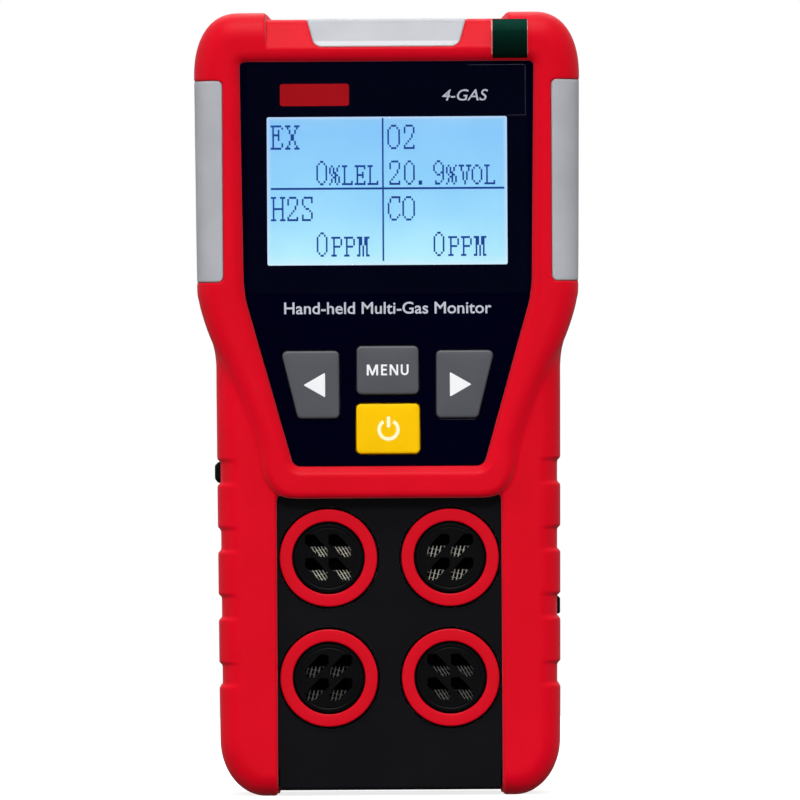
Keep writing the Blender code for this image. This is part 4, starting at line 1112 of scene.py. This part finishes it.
def ruled(name, rules, d0, d1, material, body=ROOT):
    bm = bmesh.new()
    for x0, x1, z0, z1 in rules:
        rule(bm, x0, x1, z0, z1, d0, d1)
    bmesh.ops.recalc_face_normals(bm, faces=bm.faces)
    me = bpy.data.meshes.new(name)
    bm.to_mesh(me); bm.free()
    return put(bpy.data.objects.new(name, me), material, body)


# thin pale strips along the film's edges: a painted highlight where the cut edge catches light
ruled("film_rim_painted_highlight", [(15.8, 26.9, 141.60, 141.65), (26.85, 26.90, 131.9, 141.6), (23.3, 26.85, 131.83, 131.88)], 0.965, 1.0, FILM_EDGE_HIGHLIGHT)


def draped(name, x0, x1, rows, thick, lift, cols=10, round_r=0.6):
    """A strip that follows rows of (z, depth), with thickness."""
    bm = bmesh.new()
    grid = []
    zs = [z for z, d in rows]
    ds = [d for z, d in rows]
    n = 40
    zz = np.linspace(zs[0], zs[-1], n)
    dd = np.interp(zz, zs, ds)
    for i in range(n):
        row = []
        for j in range(cols + 1):
            x = x0 + (x1 - x0) * j / cols
            row.append(bm.verts.new((x * MM, y_of(dd[i] - lift), zz[i] * MM)))
        grid.append(row)
    for i in range(n - 1):
        for j in range(cols):
            bm.faces.new((grid[i][j], grid[i][j + 1], grid[i + 1][j + 1], grid[i + 1][j]))
    bmesh.ops.recalc_face_normals(bm, faces=bm.faces)
    me = bpy.data.meshes.new(name)
    bm.to_mesh(me); bm.free()
    o = bpy.data.objects.new(name, me)
    bpy.context.scene.collection.objects.link(o)
    m = o.modifiers.new("t", "SOLIDIFY")
    m.thickness = thick * MM
    m.offset = 0
    bpy.context.view_layer.update()
    me2 = bpy.data.meshes.new_from_object(o.evaluated_get(bpy.context.evaluated_depsgraph_get()))
    o.modifiers.clear()
    o.data = me2
    return o


PATH = [(142.9, 0.15), (143.6, -0.32), (144.3, -0.42), (145.5, -0.45), (147.0, -0.42), (148.2, -0.30), (149.2, 0.05), (149.9, 0.38), (150.45, 0.72)]
margin = draped("pull_tab_margin", 20.3, 27.42, PATH[1:-1] + [(150.3, 0.70)], 0.05, -0.09)
put(margin, TAB_CLEAR_HIGHLIGHT, smooth=60)
tab = draped("pull_tab", 20.6, 27.3, PATH, 0.12, 0.0)
put(tab, GREEN_TAB, smooth=60)
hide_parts("film_pull_tab")

# ------------------------------------------------------------------ CAD nodes that stay, with their finishes
def softened(name, piece, material, body, width, limit=30.0):
    """The CAD solid with its edges rounded over."""
    o = bpy.data.objects.new(piece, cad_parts[name].data.copy())
    bpy.context.scene.collection.objects.link(o)
    bm = bmesh.new(); bm.from_mesh(o.data)
    bmesh.ops.remove_doubles(bm, verts=bm.verts, dist=1e-6)
    bmesh.ops.dissolve_limit(bm, angle_limit=math.radians(1.0), verts=bm.verts, edges=bm.edges)
    bm.to_mesh(o.data); bm.free()
    m = o.modifiers.new("edge", "BEVEL")
    m.width, m.segments, m.limit_method, m.angle_limit = width * MM, 3, "ANGLE", math.radians(limit)
    m.harden_normals = False
    bpy.context.view_layer.update()
    me = bpy.data.meshes.new_from_object(o.evaluated_get(bpy.context.evaluated_depsgraph_get()))
    o.modifiers.clear()
    o.data = me
    me.name = piece
    put(o, material, body, smooth=32)
    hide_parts(name)
    return o


softened("clip_arm", "clip_blade", BLACK_CLIP, "clip_arm", 0.28)
softened("clip_bracket", "clip_base", BLACK_CLIP, ROOT, 0.2)


def flap_shape(x, d, z):
    """The soft plug over the charging socket: domed outside, with a finger lip along its rear edge."""
    dome = round_box(x, d, z, -31.9, 11.5, 62.85, 1.95, 5.05, 2.08, 1.15)
    dome = smax(dome, np.hypot(x + 29.6, (z - 62.85) * 1.0) - 4.35, 0.4)
    lip = round_box(x, d, z, -33.35, 15.6, 62.85, 0.55, 0.45, 1.5, 0.3)
    return smin(dome, lip, 0.3)


flap = surface("port_plug", flap_shape, (-35.0, 5.6, 60.0), (-29.2, 17.4, 65.7), 0.22)
put(flap, BLACK_RUBBER, "port_flap")
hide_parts("port_flap")

# plain ruled print on the rear label: a frame, rows and a block of bars, with no words
rules = [(-15.6, 15.6, 40.2, 40.5), (-15.6, 15.6, 13.5, 13.8), (-15.6, -15.3, 13.8, 40.2), (15.3, 15.6, 13.8, 40.2)]
rules += [(-15.3, 15.3, z, z + 0.18) for z in (36.0, 31.6, 27.2, 22.8)] + [(-3.1, -2.9, 22.98, 36.0)]
x = -12.5
for k in range(26):
    w = (0.22, 0.42, 0.30, 0.62, 0.22)[(k * 7 + k // 3) % 5]
    rules.append((x, x + w, 15.4, 21.0))
    x += w + (0.34, 0.52, 0.40)[(k * 5 + 1) % 3]
ruled("label_rules", rules, 35.98, 36.02, LABEL_INK)

KEEP = {
    "rear_housing": BLACK, "buzzer_grille": BLACK_FINE, "clip_pin": STEEL,
    "clip_spring": SPRING_STEEL, "clip_screw_1": STEEL_DARK, "clip_screw_2": STEEL_DARK,
    "rating_label": LABEL, "housing_seal": BLACK_RUBBER, "main_pcb": BOARD, "sensor_pcb": BOARD, "charge_board": BOARD,
    "battery_pack": BLUE_WRAP, "vibration_motor": STEEL, "buzzer": BLACK_FINE, "usb_port": STEEL, "lcd_backlight": WHITE_PLASTIC,
    "alarm_led_top": WHITE_PLASTIC, "alarm_led_left": WHITE_PLASTIC, "alarm_led_right": WHITE_PLASTIC, "ribbon_cable": LABEL,
    "tact_switch_left": STEEL, "tact_switch_right": STEEL, "tact_switch_menu": STEEL, "tact_switch_power": STEEL,
}
for label in SENSOR_NAMES:
    KEEP["sensor_" + label] = WHITE_PLASTIC
for i in range(1, 7):
    KEEP[f"case_screw_{i}"] = STEEL_DARK
for name, material in KEEP.items():
    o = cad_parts[name]
    o.data.materials.clear()
    o.data.materials.append(material)

# ------------------------------------------------------------------ stage, light, camera
def stage_material():
    m, nt, b = new_material("pale_floor")
    n = node(nt, "ShaderNodeTexNoise", Scale=0.02, Detail=2.0)
    nt.links.new(coords(nt, 1.0), n.inputs["Vector"])
    nt.links.new(ramp(nt, n.outputs["Fac"], [(0.3, (0.40, 0.40, 0.40)), (0.7, (0.42, 0.42, 0.42))]), b.inputs["Base Color"])
    b.inputs["Roughness"].default_value = 0.8
    b.inputs["Specular IOR Level"].default_value = 0.0
    b.inputs["Emission Color"].default_value = (1, 1, 1, 1)
    b.inputs["Emission Strength"].default_value = 0.80
    return m


bm = bmesh.new()
bmesh.ops.create_circle(bm, cap_ends=True, segments=96, radius=0.6)
me = bpy.data.meshes.new("floor")
bm.to_mesh(me); bm.free()
floor = bpy.data.objects.new("floor", me)
bpy.context.scene.collection.objects.link(floor)
floor.data.materials.append(stage_material())
floor.visible_glossy = False
floor.visible_diffuse = False

world = bpy.data.worlds.new("studio")
bpy.context.scene.world = world
world.use_nodes = True
nt = world.node_tree
nt.nodes.clear()
out = nt.nodes.new("ShaderNodeOutputWorld")
path = nt.nodes.new("ShaderNodeLightPath")
seen = nt.nodes.new("ShaderNodeBackground")
seen.inputs["Color"].default_value = (1, 1, 1, 1)
seen.inputs["Strength"].default_value = 1.0
fill = nt.nodes.new("ShaderNodeBackground")
fill.inputs["Color"].default_value = (1.0, 1.0, 1.0, 1)
tc = nt.nodes.new("ShaderNodeTexCoord")
sep = nt.nodes.new("ShaderNodeSeparateXYZ")
nt.links.new(tc.outputs["Generated"], sep.inputs["Vector"])
up = nt.nodes.new("ShaderNodeMapRange")
for k, v in (("From Min", -0.3), ("From Max", 0.9), ("To Min", 0.10), ("To Max", 0.85)):
    up.inputs[k].default_value = v
nt.links.new(sep.outputs["Z"], up.inputs["Value"])
# a black flag in front of the object keeps its glossy face dark
flag = nt.nodes.new("ShaderNodeMapRange")
flag.interpolation_type = "SMOOTHSTEP"
for k, v in (("From Min", -0.97), ("From Max", -0.70), ("To Min", 0.0), ("To Max", 1.0)):
    flag.inputs[k].default_value = v
nt.links.new(sep.outputs["Y"], flag.inputs["Value"])
power = nt.nodes.new("ShaderNodeMath")
power.operation = "MULTIPLY"
nt.links.new(up.outputs["Result"], power.inputs[0])
nt.links.new(flag.outputs["Result"], power.inputs[1])
nt.links.new(power.outputs[0], fill.inputs["Strength"])
mix = nt.nodes.new("ShaderNodeMixShader")
nt.links.new(path.outputs["Is Camera Ray"], mix.inputs["Fac"])
nt.links.new(fill.outputs[0], mix.inputs[1])
nt.links.new(seen.outputs[0], mix.inputs[2])
nt.links.new(mix.outputs[0], out.inputs["Surface"])


def area(name, loc, target, size, power, size_y=None):
    l = bpy.data.lights.new(name, "AREA")
    l.shape = "RECTANGLE"
    l.size, l.size_y = size, size_y or size
    l.energy = power
    o = bpy.data.objects.new(name, l)
    o.location = loc
    o.rotation_euler = (Vector(target) - Vector(loc)).to_track_quat("-Z", "Y").to_euler()
    bpy.context.scene.collection.objects.link(o)
    return o


key_light = bpy.data.lights.new("key", "SPOT")
key_light.energy = 214.0
key_light.spot_size = math.radians(13.0)
key_light.spot_blend = 1.0
key_light.shadow_soft_size = 0.28
key = bpy.data.objects.new("key", key_light)
KEY_AT, KEY_UP = Vector((0.0, 0.0, 0.035)), math.radians(40)
key.location = KEY_AT + 1.6 * Vector((0.0, -math.cos(KEY_UP), math.sin(KEY_UP)))
key.rotation_euler = (KEY_AT - key.location).to_track_quat("-Z", "Y").to_euler()
bpy.context.scene.collection.objects.link(key)
over = area("overhead", (0.0, -0.10, 1.0), (0, 0, 0.08), 0.9, 1.7, 0.6)
strip = area("overhead_strip", (0.0, -0.42, 1.05), (0, 0, 0.08), 0.7, 20.0, 0.25)   # only for the highlights on rounded edges
strip.visible_diffuse = False
back = area("top_back", (0.0, 0.9, 1.0), (0, 0, 0.1), 0.9, 7.5, 0.6)
area("left_side", (-1.25, -0.35, 0.25), (0, 0, 0.07), 0.5, 3.6, 0.9)
area("right_side", (1.25, -0.35, 0.25), (0, 0, 0.07), 0.5, 1.0, 0.9)
fill_light = area("front_fill", (0.0, -0.42, 0.03), (0, 0, 0.05), 0.5, 0.9, 0.25)
fill_light.visible_glossy = False
fill_light.visible_camera = False

cam = bpy.data.cameras.new("camera")
camera = bpy.data.objects.new("camera", cam)
bpy.context.scene.collection.objects.link(camera)
bpy.context.scene.camera = camera
S = 0.194e-3                      # metres for each pixel of an 800 pixel frame, at the bezel
DIST = 2.5                        # a long lens, as the parallel sides show
cam.sensor_width = 36.0
cam.lens = 36.0 * (DIST + 0.003) / (800 * S)
cam.clip_start = 0.01
ROLL = math.radians(0.33)
centre_z = (795.45 - 400) * S
centre_x = (400 - 389.07 + 0.7) * S
camera.location = (centre_x, Y0 - DIST, centre_z)
camera.rotation_euler = (math.pi / 2, ROLL, 0)
bpy.context.scene.view_settings.view_transform = "Standard"
bpy.context.scene.view_settings.look = "None"
